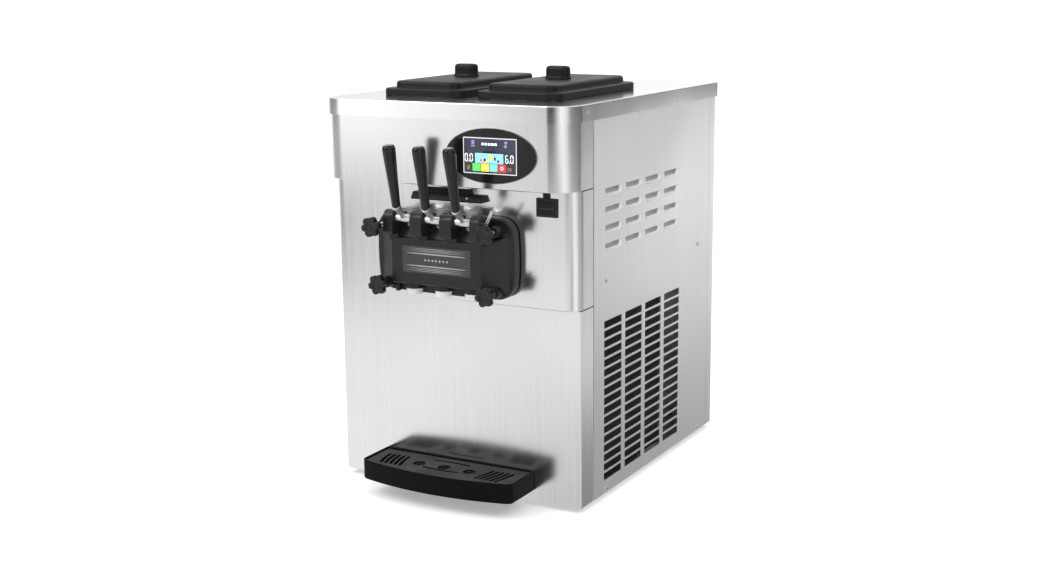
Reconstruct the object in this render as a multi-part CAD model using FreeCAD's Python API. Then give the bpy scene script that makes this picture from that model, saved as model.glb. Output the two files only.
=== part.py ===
import FreeCAD, Part
import math
import os

# Table-top soft serve machine: two hoppers on top, two freezing cylinders behind one
# black dispensing door with three draw levers, and a drip tray at the foot of the front.
#
# Everything is drawn in millimetres about a drawing origin: X to the machine's right as
# seen in use from the front, Y to the back with y = 0 at the front edge of the side
# panels, Z up with z = 0 at the lower edge of the panels. At the end every piece is moved
# so that the part's own origin lies on the floor below the middle of its bounding box.

V = FreeCAD.Vector
X_AXIS = V(1, 0, 0)
Y_AXIS = V(0, 1, 0)
Z_AXIS = V(0, 0, 1)

# --- driving dimensions of the casing -------------------------------------------------
HALF_WIDTH = 270.0          # outer faces of the side panels
SHEET = 1.2                 # stainless casing sheet
PANEL_TOP = 757.0           # panels end inside the cap
FOOT_HEIGHT = 12.0
SIDE_BACK = 564.0           # rear edge of the side panels
REAR = 595.0                # back face of the rear cover
SEAM = 0.8                  # gap left at every casing seam
PAN_HALF = 266.0
PAN_SHEET = 2.0
PAN_RIM = 18.0
POST_HALF = PAN_HALF - PAN_SHEET    # the posts stand inside the pan's rims
POST_WIDTH = 24.0

RETURN_HALF = 269.0         # side returns of the three front pieces
LOWER_FRONT = -51.0
MIDDLE_FRONT = -67.0
MIDDLE_BOTTOM = 382.0
MIDDLE_RADIUS = 25.0
HEAD_FRONT = -97.0
HEAD_BOTTOM = 604.5
HEAD_RADIUS = 46.0
CAP_HALF = 273.0
CAP_FRONT = -100.5
CAP_BACK = 597.5
CAP_BOTTOM = 730.0
CAP_TOP = 761.0
CAP_RADIUS = 49.0

# Vent slots and louvres of the side panels, each as (along y, along z). The starts are the
# lower front slot's corner and the upper front louvre's.
SLOT_START = (44.0, 27.0)
SLOT_PITCH = (94.2, 18.9)
SLOT_SIZE = (77.5, 14.1)
LOUVRE_START = (47.0, 598.0)
LOUVRE_PITCH = (91.0, 35.0)
LOUVRE_SIZE = (75.0, 15.0)
LOUVRE_DEPTH = 7.0

# --- cylinders, hoppers and lids ------------------------------------------------------
CYLINDER_X = 65.0
CYLINDER_Z = 473.0
CYLINDER_R = 47.0           # inside radius
CYLINDER_WALL = 2.5
CYLINDER_BACK = 250.0
HOPPER_INNER = 32.0         # inner side wall of each hopper, from the centre plane
HOPPER_OUTER = 188.0
HOPPER_FRONT = 6.0
HOPPER_BACK = 302.0
HOPPER_DEPTH = 125.0
LID_INNER = 14.0
LID_OUTER = 196.0
LID_FRONT = -2.0
LID_BACK = 352.0
LID_WALL = 2.0              # skirt that hangs round the hopper rim, down to the top sheet
LID_STEP = 18.0             # how far the upper tier stands in from the lower one
LID_REST = 763.5            # height of the hopper rims that the lids rest on
LID_TIER = 12.0
LID_TOP = 790.0
LID_KNOB_TOP = 815.0

# --- dispensing door ------------------------------------------------------------------
LEVER_X = (-65.0, 0.0, 65.0)
SIDES = {"left": -1, "right": 1}
FLANGE_FRONT = -91.0
FLANGE_HALF = 146.0         # at the corners; the long sides bow out by FLANGE_BOW
FLANGE_BOW = 5.0
FLANGE_BOTTOM = 398.0
FLANGE_TOP = 550.0
BLOCK_FRONT = -121.0
BLOCK_HALF = 98.5
BLOCK_BOTTOM = 418.0
BLOCK_TOP = 506.0
PIVOT_Y = -125.0
PIVOT_Z = 544.0
ROD_R = 3.5
LUG_R = 15.5
LUG_FOOT = 512.0            # underside of the lugs, in front of the block
LUGS = ((-105.0, -84.3), (-45.7, -19.3), (19.3, 45.7), (84.3, 105.0))
PIN_LEFT = -108.0
PIN_CORNER = 111.5          # where the hinge pin turns up
PIN_END = (125.0, 569.5)
SHANK = ((-129.0, 546.0), (-153.5, 571.0))
BARREL_HALF = 19.0          # half length of a lever's barrel
PLUNGER_Y = -96.0
PLUNGER_R = 11.5
PLUNGER_BOTTOM = 408.0
PLUNGER_TOP = 562.0
BARREL_R = 14.5             # the three outlets under the door, and the caps pushed onto them
CAP_R = 16.0
FIT = 0.08                  # radial clearance of a running fit

STUD_X = 120.0
STUD_Z = {"top": 528.0, "bottom": 414.0}
STUD_R = 4.0
STUD_END = -139.5
KNOB_R = 20.0
KNOB_DISC = 12.0
KNOB_NECK = 18.0
# Each knob is screwed down to its own depth, so its front face has its own place.
KNOB_FACE = {
    ("left", "top"): -164.0,
    ("right", "top"): -154.5,
    ("left", "bottom"): -146.5,
    ("right", "bottom"): -153.0,
}

# --- drip tray ------------------------------------------------------------------------
TRAY_HALF = 168.0
TRAY_BACK = -51.8
TRAY_CORNER = -143.0
TRAY_APEX = -166.0
TRAY_BOTTOM = 20.0
TRAY_TOP = 60.0
TRAY_WALL = 3.0
GRILLE_TOP = 57.5
GRILLE_THICK = 4.0

# --- control panel --------------------------------------------------------------------
BEZEL_X = 108.0
BEZEL_Z = 666.5
BEZEL_HALF_X = 96.5
BEZEL_HALF_Z = 51.5
SCREEN_X = (50.0, 163.5)
SCREEN_Z = (633.0, 700.0)

# --- drive and refrigeration ----------------------------------------------------------
GEARBOX_FRONT = 264.0
GEARBOX_BACK = 340.0
MOTOR_Z = 150.0
MOTOR_R = 68.0
PULLEY_START = 350.0
GROOVE_Y = {"left": 358.0, "right": 372.0}
GEAR_PULLEY_R = 58.0
MOTOR_PULLEY_R = 34.0
BELT_GAP = 0.3
COIL_X = (212.0, 256.0)
COIL_Y = (34.0, 334.0)
COIL_Z = (22.0, 352.0)
FAN_Y = 184.0
FAN_Z = 187.0
FAN_R = 120.0

# The foremost point is on the lever grips and the rearmost is the end of the cable gland.
GRIP_TOP = (-172.5, 678.0)
GRIP_TOP_R = 12.4
GLAND_X = 205.0
GLAND_Z = 70.0
GLAND_OUT = 27.0
ORIGIN_Y = (GRIP_TOP[0] - GRIP_TOP_R + REAR + GLAND_OUT) / 2.0

# Screws as (y, z) on each side panel and each side of the cap, and (x, z) on the rear cover.
SIDE_SCREWS = ((51, 422), (503, 420), (53, 8), (512, 8))
CAP_SCREWS = ((-30, 746), (380, 746))
REAR_SCREWS = [(x, z) for x in (-240, 240) for z in (20, 380, 700)]
SCREW_SHANK_R = 1.7
SCREW_SHANK = 9.0

# Places where the refrigerant pipes rise through the deck into the insulation.
PIPE_HOLES = {"liquid": (20.0, 225.0, 3.0), "suction": (-120.0, 225.0, 6.0)}


# --- helpers --------------------------------------------------------------------------
def box(x0, x1, y0, y1, z0, z1):
    return Part.makeBox(x1 - x0, y1 - y0, z1 - z0, V(x0, y0, z0))


def rod(start, axis, radius, length):
    return Part.makeCylinder(radius, length, V(*start), axis)


def cone(start, end, r0, r1):
    way = V(*end) - V(*start)
    return Part.makeCone(r0, r1, way.Length, V(*start), way)


def ring(start, axis, r_out, r_in, length):
    return rod(start, axis, r_out, length).cut(rod(start, axis, r_in, length))


def prism(points, way):
    """A flat polygon pushed along a vector."""
    corners = [V(*p) for p in points]
    return Part.Face(Part.makePolygon(corners + corners[:1])).extrude(way)


def fuse(shapes):
    return shapes[0].multiFuse(shapes[1:]).removeSplitter() if len(shapes) > 1 else shapes[0]


def cut(shape, tools):
    return shape.cut(Part.makeCompound(tools)) if tools else shape


def edges_along(shape, axis, keep):
    """Straight edges parallel to an axis whose middle point passes a test."""
    found = []
    for edge in shape.Edges:
        ends = [v.Point for v in edge.Vertexes]
        if len(ends) < 2:
            continue
        way = ends[1] - ends[0]
        if way.Length > 0 and abs(way.dot(axis)) > 0.999 * way.Length:
            if keep((ends[0] + ends[1]) * 0.5):
                found.append(edge)
    return found


def slab(x0, x1, y0, y1, z0, z1, radius, keep=lambda p: True):
    """A box with chosen upright corners rounded."""
    body = box(x0, x1, y0, y1, z0, z1)
    return body.makeFillet(radius, edges_along(body, Z_AXIS, keep))


def front_shell(half, front, z0, z1, radius):
    """The open-backed sheet that a front piece is folded from."""
    outer = slab(-half, half, front, -SEAM, z0, z1, radius, lambda p: p.y < front / 2)
    inner = slab(-half + SHEET, half - SHEET, front + SHEET, 1, z0 - 1, z1 + 1,
                 radius - SHEET, lambda p: p.y < front / 2)
    return outer.cut(inner)


def front_lip(half, front, depth, z, radius):
    """The sheet folded back under a front piece that overhangs the one below."""
    outline = slab(-half, half, front, -SEAM, z, z + SHEET, radius, lambda p: p.y < front / 2)
    return outline.common(box(-half, half, front, front + depth, z, z + SHEET))


def mirror(shape):
    return shape.mirror(V(0, 0, 0), X_AXIS)


# --- casing ---------------------------------------------------------------------------
def base_pan():
    front = LOWER_FRONT + 3
    back = REAR - 3
    floor = box(-PAN_HALF, PAN_HALF, front, back, 0, PAN_SHEET)
    rims = [box(x, x + PAN_SHEET, front, back, 0, PAN_RIM) for x in (-PAN_HALF, PAN_HALF - PAN_SHEET)]
    rims.append(box(-PAN_HALF, PAN_HALF, back - PAN_SHEET, back, 0, PAN_RIM))
    return fuse([floor] + rims)


def rubber_feet():
    feet = [Part.makeCone(19, 23, FOOT_HEIGHT, V(x, y, -FOOT_HEIGHT))
            for x in (-205, 205) for y in (45, 520)]
    return Part.makeCompound(feet)


def corner_posts():
    """Four angle posts, each with one leg across the machine and one along its side."""
    posts = []
    top = PANEL_TOP - 10
    for y, turn in ((4, 1), (552, -1)):
        y_thin = sorted((y, y + turn * PAN_SHEET))
        y_wide = sorted((y, y + turn * POST_WIDTH))
        across = box(POST_HALF - POST_WIDTH, POST_HALF, *y_thin, PAN_SHEET, top)
        along = box(POST_HALF - PAN_SHEET, POST_HALF, *y_wide, PAN_SHEET, top)
        post = fuse([across, along])
        posts += [post, mirror(post)]
    return Part.makeCompound(posts)


def mid_deck():
    plate = box(-240, 240, 2, 342, 384, 387)
    lips = [box(-240, 240, y, y + 2, 370, 384) for y in (2, 340)]
    holes = [rod((x, y, 380), Z_AXIS, r + 2, 10) for x, y, r in PIPE_HOLES.values()]
    return cut(fuse([plate] + lips), holes)


def lower_front_panel():
    return front_shell(RETURN_HALF, LOWER_FRONT, 0, MIDDLE_BOTTOM - SEAM, 2.5)


def middle_front_panel():
    shell = front_shell(RETURN_HALF, MIDDLE_FRONT, MIDDLE_BOTTOM, HEAD_BOTTOM - SEAM, MIDDLE_RADIUS)
    lip = front_lip(RETURN_HALF, MIDDLE_FRONT, 24, MIDDLE_BOTTOM, MIDDLE_RADIUS)
    mouths = [rod((side * CYLINDER_X, MIDDLE_FRONT - 1, CYLINDER_Z), Y_AXIS,
                  CYLINDER_R + CYLINDER_WALL + 0.5, 5) for side in (-1, 1)]
    studs = [rod((side * STUD_X, MIDDLE_FRONT - 1, z), Y_AXIS, STUD_R + 0.5, 5)
             for side in (-1, 1) for z in STUD_Z.values()]
    return cut(fuse([shell, lip]), mouths + studs)


def ellipse_prism(half_x, half_z, y0, y1):
    curve = Part.Ellipse(V(BEZEL_X, y0, BEZEL_Z), half_x, half_z)
    wire = Part.Wire(curve.toShape())
    wire.rotate(V(BEZEL_X, y0, BEZEL_Z), X_AXIS, 90)
    return Part.Face(wire).extrude(V(0, y1 - y0, 0))


def head_panel():
    shell = front_shell(RETURN_HALF, HEAD_FRONT, HEAD_BOTTOM, PANEL_TOP, HEAD_RADIUS)
    lip = front_lip(RETURN_HALF, HEAD_FRONT, 48, HEAD_BOTTOM, HEAD_RADIUS)
    window = ellipse_prism(BEZEL_HALF_X - 6, BEZEL_HALF_Z - 6, HEAD_FRONT - 2, HEAD_FRONT + 4)
    return fuse([shell, lip]).cut(window)


def top_cap():
    def is_front(p):
        return p.y < CAP_BACK / 2
    outer = slab(-CAP_HALF, CAP_HALF, CAP_FRONT, CAP_BACK, CAP_BOTTOM, CAP_TOP, CAP_RADIUS, is_front)
    inner = slab(-CAP_HALF + SHEET, CAP_HALF - SHEET, CAP_FRONT + SHEET, CAP_BACK - SHEET,
                 CAP_BOTTOM - 1, CAP_TOP - SHEET, CAP_RADIUS - SHEET, is_front)
    wells = []
    for side in (-1, 1):
        x0, x1 = sorted((side * (HOPPER_INNER - 1), side * (HOPPER_OUTER + 1)))
        wells.append(slab(x0, x1, HOPPER_FRONT - 1, HOPPER_BACK + 1, CAP_TOP - 5, CAP_TOP + 1, 23))
    return cut(outer.cut(inner), wells)


def louvre_outline(y0, z_top, grow):
    """Straight along the top, with round lower corners, in the plane of the side panel."""
    width, height = LOUVRE_SIZE
    body = box(-40, 0, y0 - grow, y0 + width + grow, z_top - height - grow, z_top)
    return body.makeFillet(height * 0.8, edges_along(body, X_AXIS, lambda p: p.z < z_top - 1))


def louvre_shapes(y0, z_top):
    """The cut for one pressed-in louvre, and the scoop of sheet that stays behind it."""
    width, height = LOUVRE_SIZE
    low = z_top - height
    start = y0 - 9
    length = width + 18

    def inside(offset):
        """Everything outboard of the slanted floor of the scoop."""
        return prism([(HALF_WIDTH + 1, start, low - 3 + offset),
                      (HALF_WIDTH + 1, start, z_top + 1),
                      (HALF_WIDTH - LOUVRE_DEPTH - offset, start, z_top + 1),
                      (HALF_WIDTH - offset, start, low + offset)], V(0, length, 0))

    shift = V(HALF_WIDTH + 1, 0, 0)
    hole = louvre_outline(y0, z_top, 0)
    hole.translate(shift)
    skin = louvre_outline(y0, z_top, SHEET)
    skin.translate(shift)
    scoop = skin.common(inside(SHEET * 0.9)).cut(hole.common(inside(0)))
    keep_in = box(HALF_WIDTH - 20, HALF_WIDTH, start, start + length, low - 5, z_top)
    return hole, scoop.common(keep_in)


def side_panel_right():
    """The side sheet, its rear flange, 68 vent slots and 16 louvres."""
    back = SIDE_BACK - SEAM
    panel = box(HALF_WIDTH - SHEET, HALF_WIDTH, 0, back, 0, PANEL_TOP)
    flange = box(HALF_WIDTH - 12, HALF_WIDTH, back - SHEET, back, PAN_RIM + 0.5, PANEL_TOP)
    slots = []
    for column in range(4):
        y0 = SLOT_START[0] + SLOT_PITCH[0] * column
        for row in range(17):
            z0 = SLOT_START[1] + SLOT_PITCH[1] * row
            slots.append(box(HALF_WIDTH - 5, HALF_WIDTH + 1, y0, y0 + SLOT_SIZE[0],
                             z0, z0 + SLOT_SIZE[1]))
    sheet_zone = box(HALF_WIDTH - 5, HALF_WIDTH + 2, 0, SIDE_BACK, 0, PANEL_TOP)
    holes = []
    scoops = []
    for column in range(4):
        for row in range(4):
            hole, scoop = louvre_shapes(LOUVRE_START[0] + LOUVRE_PITCH[0] * column,
                                        LOUVRE_START[1] - LOUVRE_PITCH[1] * row)
            holes.append(hole.common(sheet_zone))
            scoops.append(scoop)
    return fuse([cut(fuse([panel, flange]), slots + holes)] + scoops)


def rear_cover():
    outer = slab(-HALF_WIDTH, HALF_WIDTH, SIDE_BACK, REAR, 0, PANEL_TOP, 4, lambda p: p.y > REAR - 1)
    inner = slab(-HALF_WIDTH + SHEET, HALF_WIDTH - SHEET, SIDE_BACK - 1, REAR - SHEET, -1,
                 PANEL_TOP + 1, 2.8, lambda p: p.y > REAR - 2)
    slots = []
    for column in range(3):
        for row in range(12):
            x0 = -141 + 102 * column
            z0 = 120 + 20 * row
            slots.append(box(x0, x0 + 78, REAR - 4, REAR + 1, z0, z0 + 8))
    gland_hole = rod((GLAND_X, REAR - 5, GLAND_Z), Y_AXIS, 8.2, 10)
    return cut(outer.cut(inner), slots + [gland_hole])


def screw(place, axis, radius=4.2, rise=1.8):
    """A low round-headed screw: domed head outside, short shank inside."""
    head = rod(place, axis, radius, rise)
    rims = [e for e in head.Edges if e.Curve.TypeId == "Part::GeomCircle"
            and (e.Curve.Center - V(*place)).Length > rise / 2]
    head = head.makeFillet(rise * 0.7, rims)
    shank_start = V(*place) - axis * SCREW_SHANK
    return head.fuse(Part.makeCylinder(SCREW_SHANK_R, SCREW_SHANK, shank_start, axis))


def panel_screws():
    screws = [screw((HALF_WIDTH, y, z), X_AXIS) for y, z in SIDE_SCREWS]
    screws += [screw((CAP_HALF, y, z), X_AXIS) for y, z in CAP_SCREWS]
    screws += [mirror(right) for right in screws]
    screws += [screw((x, REAR, z), Y_AXIS) for x, z in REAR_SCREWS]
    return Part.makeCompound(screws)


def screw_holes():
    """Clearance holes for every screw, to be cut from the sheets that they pass through."""
    radius = SCREW_SHANK_R + 0.2
    width = 2 * CAP_HALF + 2
    holes = [rod((-CAP_HALF - 1, y, z), X_AXIS, radius, width) for y, z in SIDE_SCREWS + CAP_SCREWS]
    depth = SCREW_SHANK + 3
    return holes + [rod((x, REAR + 1 - depth, z), Y_AXIS, radius, depth) for x, z in REAR_SCREWS]


def cable_gland():
    """A hexagon body, a domed nut and an inner lock nut, with a clear bore for the lead."""
    hexagon = [(GLAND_X + 13 * math.cos(math.radians(60 * k)), REAR,
                GLAND_Z + 13 * math.sin(math.radians(60 * k))) for k in range(6)]
    body = prism(hexagon, V(0, 8, 0))
    nut = cone((GLAND_X, REAR + 8, GLAND_Z), (GLAND_X, REAR + GLAND_OUT, GLAND_Z), 12, 8.5)
    thread = rod((GLAND_X, REAR - 12, GLAND_Z), Y_AXIS, 8, 12)
    lock = rod((GLAND_X, REAR - SHEET - 6, GLAND_Z), Y_AXIS, 12, 5.5)
    bore = rod((GLAND_X, REAR - 20, GLAND_Z), Y_AXIS, 5.0, 60)
    return fuse([body, nut, thread, lock]).cut(bore)


# --- hoppers, lids and freezing cylinders ---------------------------------------------
def hopper_right():
    low = CAP_TOP - HOPPER_DEPTH
    outer = slab(HOPPER_INNER, HOPPER_OUTER, HOPPER_FRONT, HOPPER_BACK, low, LID_REST, 22)
    inner = slab(HOPPER_INNER + SHEET, HOPPER_OUTER - SHEET, HOPPER_FRONT + SHEET,
                 HOPPER_BACK - SHEET, low + SHEET, LID_REST + 1, 22 - SHEET)
    rim = slab(HOPPER_INNER - 4, HOPPER_OUTER + 4, HOPPER_FRONT - 4, HOPPER_BACK + 4,
               CAP_TOP + 0.2, LID_REST, 26)
    outlet = rod((CYLINDER_X + 25, 60, CYLINDER_Z + 67), Z_AXIS, 14, low - CYLINDER_Z - 66)
    bore = rod((CYLINDER_X + 25, 60, CYLINDER_Z + 60), Z_AXIS, 12, low - CYLINDER_Z - 40)
    return fuse([outer.cut(inner), rim.cut(inner), outlet]).cut(bore)


def feed_tubes():
    """The air and feed tubes that stand in the hopper outlets."""
    tubes = []
    low = CAP_TOP - HOPPER_DEPTH
    for side in (-1, 1):
        x = side * (CYLINDER_X + 25)
        tube = ring((x, 60, low - 30), Z_AXIS, 11.7, 8, 128)
        port = rod((x - 20, 60, low + 12), X_AXIS, 3.5, 40)
        tubes.append(tube.cut(port))
    return Part.makeCompound(tubes)


def hopper_lid_right():
    radius = 26
    base = slab(LID_INNER, LID_OUTER, LID_FRONT, LID_BACK, LID_REST, LID_REST + LID_TIER, radius)
    tier = slab(LID_INNER + LID_STEP, LID_OUTER - LID_STEP, LID_FRONT + LID_STEP,
                LID_BACK - LID_STEP, LID_REST + LID_TIER - 1, LID_TOP, radius - 8)
    top_edges = [e for e in tier.Edges if e.BoundBox.ZMin > LID_TOP - 0.1]
    tier = tier.makeFillet(6, top_edges)
    apron = slab(LID_INNER, LID_OUTER, LID_FRONT, LID_BACK, CAP_TOP + 0.4, LID_REST + 1, radius)
    room = slab(LID_INNER + LID_WALL, LID_OUTER - LID_WALL, LID_FRONT + LID_WALL, LID_BACK - LID_WALL,
                CAP_TOP, LID_REST, radius - LID_WALL)
    skirt = slab(HOPPER_INNER + 5, HOPPER_OUTER - 5, HOPPER_FRONT + 5, HOPPER_BACK - 5,
                 LID_REST - 9, LID_REST + 2, 17)
    hollow = slab(HOPPER_INNER + 8, HOPPER_OUTER - 8, HOPPER_FRONT + 8, HOPPER_BACK - 8,
                  LID_REST - 10, LID_REST + 1, 14)
    middle_x = (LID_INNER + LID_OUTER) / 2
    middle_y = (LID_FRONT + LID_BACK) / 2
    grip = slab(middle_x - 26, middle_x + 26, middle_y - 15, middle_y + 15, LID_TOP - 2,
                LID_KNOB_TOP, 12)
    grip = grip.makeFillet(8, [e for e in grip.Edges if e.BoundBox.ZMin > LID_KNOB_TOP - 0.1])
    return fuse([base, tier, apron.cut(room), skirt.cut(hollow), grip])


def freezing_cylinders():
    """Two steel barrels, each with a front collar, a closed back and a feed inlet on top."""
    barrels = []
    r_out = CYLINDER_R + CYLINDER_WALL
    for side in (-1, 1):
        x = side * CYLINDER_X
        tube = rod((x, MIDDLE_FRONT, CYLINDER_Z), Y_AXIS, r_out, CYLINDER_BACK - MIDDLE_FRONT)
        collar = rod((x, MIDDLE_FRONT + 2, CYLINDER_Z), Y_AXIS, r_out + 9, 6)
        inlet = rod((side * (CYLINDER_X + 25), 60, CYLINDER_Z + 30), Z_AXIS, 14, 36)
        room = rod((x, MIDDLE_FRONT - 1, CYLINDER_Z), Y_AXIS, CYLINDER_R,
                   CYLINDER_BACK - MIDDLE_FRONT - 5)
        shaft_hole = rod((x, CYLINDER_BACK - 10, CYLINDER_Z), Y_AXIS, 14, 30)
        feed = rod((side * (CYLINDER_X + 25), 60, CYLINDER_Z + 30), Z_AXIS, 12, 40)
        barrels.append(fuse([tube, collar, inlet]).cut(room).cut(shaft_hole).cut(feed))
    return Part.makeCompound(barrels)


def insulation_block():
    """Foam around both barrels, with a groove over each feed inlet."""
    block = box(-138, 138, -52, 240, 390, 553)
    hollows = [rod((side * CYLINDER_X, -60, CYLINDER_Z), Y_AXIS, CYLINDER_R + CYLINDER_WALL + 0.3, 310)
               for side in (-1, 1)]
    inlets = [rod((side * (CYLINDER_X + 25), 60, CYLINDER_Z + 20), Z_AXIS, 14.5, 80)
              for side in (-1, 1)]
    return cut(block, hollows + inlets)


def cylinder_seals():
    """A gasket at each barrel's mouth and a lip seal round each beater shaft."""
    seals = []
    for side in (-1, 1):
        x = side * CYLINDER_X
        seals.append(ring((x, MIDDLE_FRONT - 3.0, CYLINDER_Z), Y_AXIS, CYLINDER_R + 7, CYLINDER_R + 3, 3.0))
        seals.append(ring((x, CYLINDER_BACK - 5, CYLINDER_Z), Y_AXIS, 14, 10.3, 12))
    return Part.makeCompound(seals)


def beater(side):
    """A shaft, two spiders and two slanted scraper blades."""
    x = side * CYLINDER_X
    shaft = rod((x, -40, CYLINDER_Z), Y_AXIS, 9, GEARBOX_FRONT + 20 + 40)
    parts = [shaft]
    for y in (-36, 90, 222):
        for angle in (0, 120, 240):
            spoke = box(0, 42, y, y + 8, -5, 5)
            spoke.rotate(V(0, y, 0), Y_AXIS, angle + y * 0.25)
            spoke.translate(V(x, 0, CYLINDER_Z))
            parts.append(spoke)
    for angle in (0, 120, 240):
        rings = []
        for y in (-42, 240):
            turn = math.radians(angle + y * 0.25)
            out = V(math.cos(turn), 0, -math.sin(turn))
            across = V(math.sin(turn), 0, math.cos(turn))
            centre = V(x, y, CYLINDER_Z)
            corners = [centre + out * 38 - across * 4, centre + out * 45 - across * 4,
                       centre + out * 45 + across * 4, centre + out * 38 + across * 4]
            rings.append(Part.makePolygon(corners + corners[:1]))
        parts.append(Part.makeLoft(rings, True, True))
    return fuse(parts)


# --- drive ----------------------------------------------------------------------------
def gearboxes():
    boxes = []
    for side in (-1, 1):
        x = side * CYLINDER_X
        case = slab(x - 52, x + 52, GEARBOX_FRONT, GEARBOX_BACK, 412, 534, 10)
        foot = box(x - 58, x + 58, GEARBOX_FRONT + 8, GEARBOX_BACK - 8, 387.2, 413)
        shaft_way = rod((x, GEARBOX_FRONT - 1, CYLINDER_Z), Y_AXIS, 9 + FIT, 25)
        pulley_way = rod((x, GEARBOX_BACK - 24, CYLINDER_Z), Y_AXIS, 8 + FIT, 25)
        boxes.append(fuse([case, foot]).cut(shaft_way).cut(pulley_way))
    return Part.makeCompound(boxes)


def grooved_wheel(x, z, radius, grooves, length):
    wheel = rod((x, PULLEY_START, z), Y_AXIS, radius, length)
    for y in grooves:
        outer = ring((x, y - 4.5, z), Y_AXIS, radius + 1, radius - 8, 9)
        wheel = wheel.cut(outer)
    return wheel


def gearbox_pulley(side, name):
    x = side * CYLINDER_X
    wheel = grooved_wheel(x, CYLINDER_Z, GEAR_PULLEY_R, [GROOVE_Y[name]], 30)
    windows = [rod((x + 30 * math.cos(a), PULLEY_START - 1, CYLINDER_Z + 30 * math.sin(a)), Y_AXIS, 9, 40)
               for a in (math.radians(60 * k) for k in range(6))]
    shaft = rod((x, GEARBOX_BACK - 20, CYLINDER_Z), Y_AXIS, 8, 54)
    return fuse([cut(wheel, windows), shaft])


def drive_motor():
    case = rod((0, 172, MOTOR_Z), Y_AXIS, MOTOR_R, 172)
    fins = [ring((0, 196 + 12 * k, MOTOR_Z), Y_AXIS, MOTOR_R + 6, MOTOR_R - 2, 4) for k in range(10)]
    feet = [box(x, x + 26, 190, 320, 2.2, MOTOR_Z - 40) for x in (-62, 36)]
    shaft_way = rod((0, 330, MOTOR_Z), Y_AXIS, 9 + FIT, 20)
    return fuse([case] + fins + feet).cut(shaft_way)


def motor_pulley():
    wheel = grooved_wheel(0, MOTOR_Z, MOTOR_PULLEY_R, GROOVE_Y.values(), 32)
    return fuse([wheel, rod((0, 332, MOTOR_Z), Y_AXIS, 9, 55)])


def belt_loop(name):
    """An open belt round the motor wheel and one gearbox wheel."""
    side = SIDES[name]
    low = V(0, 0, MOTOR_Z)
    high = V(side * CYLINDER_X, 0, CYLINDER_Z)
    way = high - low

    def loop(r_low, r_high):
        lean = math.asin((r_high - r_low) / way.Length)
        heading = math.atan2(way.z, way.x)
        points = []
        for centre, radius, turns in ((low, r_low, (1, 2)), (high, r_high, (0, 3))):
            for k in turns:
                hand = 1 if k in (1, 0) else -1
                angle = heading + hand * (math.pi / 2 + lean)
                points.append(centre + V(math.cos(angle), 0, math.sin(angle)) * radius)
        p_low_a, p_low_b, p_high_a, p_high_b = points
        along = V(math.cos(heading), 0, math.sin(heading))
        back = low - along * r_low
        front = high + along * r_high
        edges = [Part.Arc(p_low_a, back, p_low_b).toShape(),
                 Part.LineSegment(p_low_b, p_high_b).toShape(),
                 Part.Arc(p_high_b, front, p_high_a).toShape(),
                 Part.LineSegment(p_high_a, p_low_a).toShape()]
        return Part.Face(Part.Wire(edges))

    inner = MOTOR_PULLEY_R - 8 + BELT_GAP
    inner_high = GEAR_PULLEY_R - 8 + BELT_GAP
    face = loop(inner + 8, inner_high + 8).cut(loop(inner, inner_high))
    belt = face.extrude(V(0, 8.2, 0))
    belt.translate(V(0, GROOVE_Y[name] - 4.1, 0))
    return belt


def drive_belts():
    return Part.makeCompound([belt_loop("left"), belt_loop("right")])


# --- refrigeration --------------------------------------------------------------------
def compressor():
    x, y = -165, 130
    drum = rod((x, y, 30), Z_AXIS, 78, 150)
    dome = Part.makeSphere(78, V(x, y, 180), Z_AXIS, 0, 90, 360)
    dome = dome.common(box(x - 80, x + 80, y - 80, y + 80, 170, 225))
    base = box(x - 85, x + 85, y - 70, y + 70, 16, 31)
    feet = [rod((x + dx, y + dy, 2.2), Z_AXIS, 14, 14) for dx in (-68, 68) for dy in (-54, 54)]
    return fuse([drum, dome, base] + feet)


def condenser():
    """The finned block with end plates, and the return bends of its tubes at both ends."""
    core = box(COIL_X[0], COIL_X[1], COIL_Y[0] + 2, COIL_Y[1] - 2, *COIL_Z)
    plates = [box(COIL_X[0] - 3, COIL_X[1] + 3, y, y + 2, *COIL_Z) for y in (COIL_Y[0], COIL_Y[1] - 2)]
    bends = []
    for x in (COIL_X[0] + 12, COIL_X[1] - 12):
        for k in range(11):
            z = COIL_Z[0] + 22 + 28 * k
            for y, outside in ((COIL_Y[1], (0, 12)), (COIL_Y[0], (-12, 0))):
                bend = Part.makeTorus(7, 4, V(x, y, z), X_AXIS, 0, 360, 360)
                half = box(x - 6, x + 6, y + outside[0], y + outside[1], z - 12, z + 12)
                bends.append(bend.common(half))
    return fuse([core] + plates + bends)


def fan_shroud():
    plate = box(COIL_X[0] - 40, COIL_X[0] - 38, COIL_Y[0], COIL_Y[1], *COIL_Z)
    edge = COIL_X[0] - 3.5
    walls = [box(COIL_X[0] - 40, edge, COIL_Y[0], COIL_Y[1], z, z + 2)
             for z in (COIL_Z[0], COIL_Z[1] - 2)]
    walls += [box(COIL_X[0] - 40, edge, y, y + 2, *COIL_Z) for y in (COIL_Y[0], COIL_Y[1] - 2)]
    mouth = rod((COIL_X[0] - 45, FAN_Y, FAN_Z), X_AXIS, FAN_R + 6, 10)
    collar = ring((COIL_X[0] - 58, FAN_Y, FAN_Z), X_AXIS, FAN_R + 8, FAN_R + 6, 20)
    return fuse([fuse([plate] + walls).cut(mouth), collar])


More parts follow.
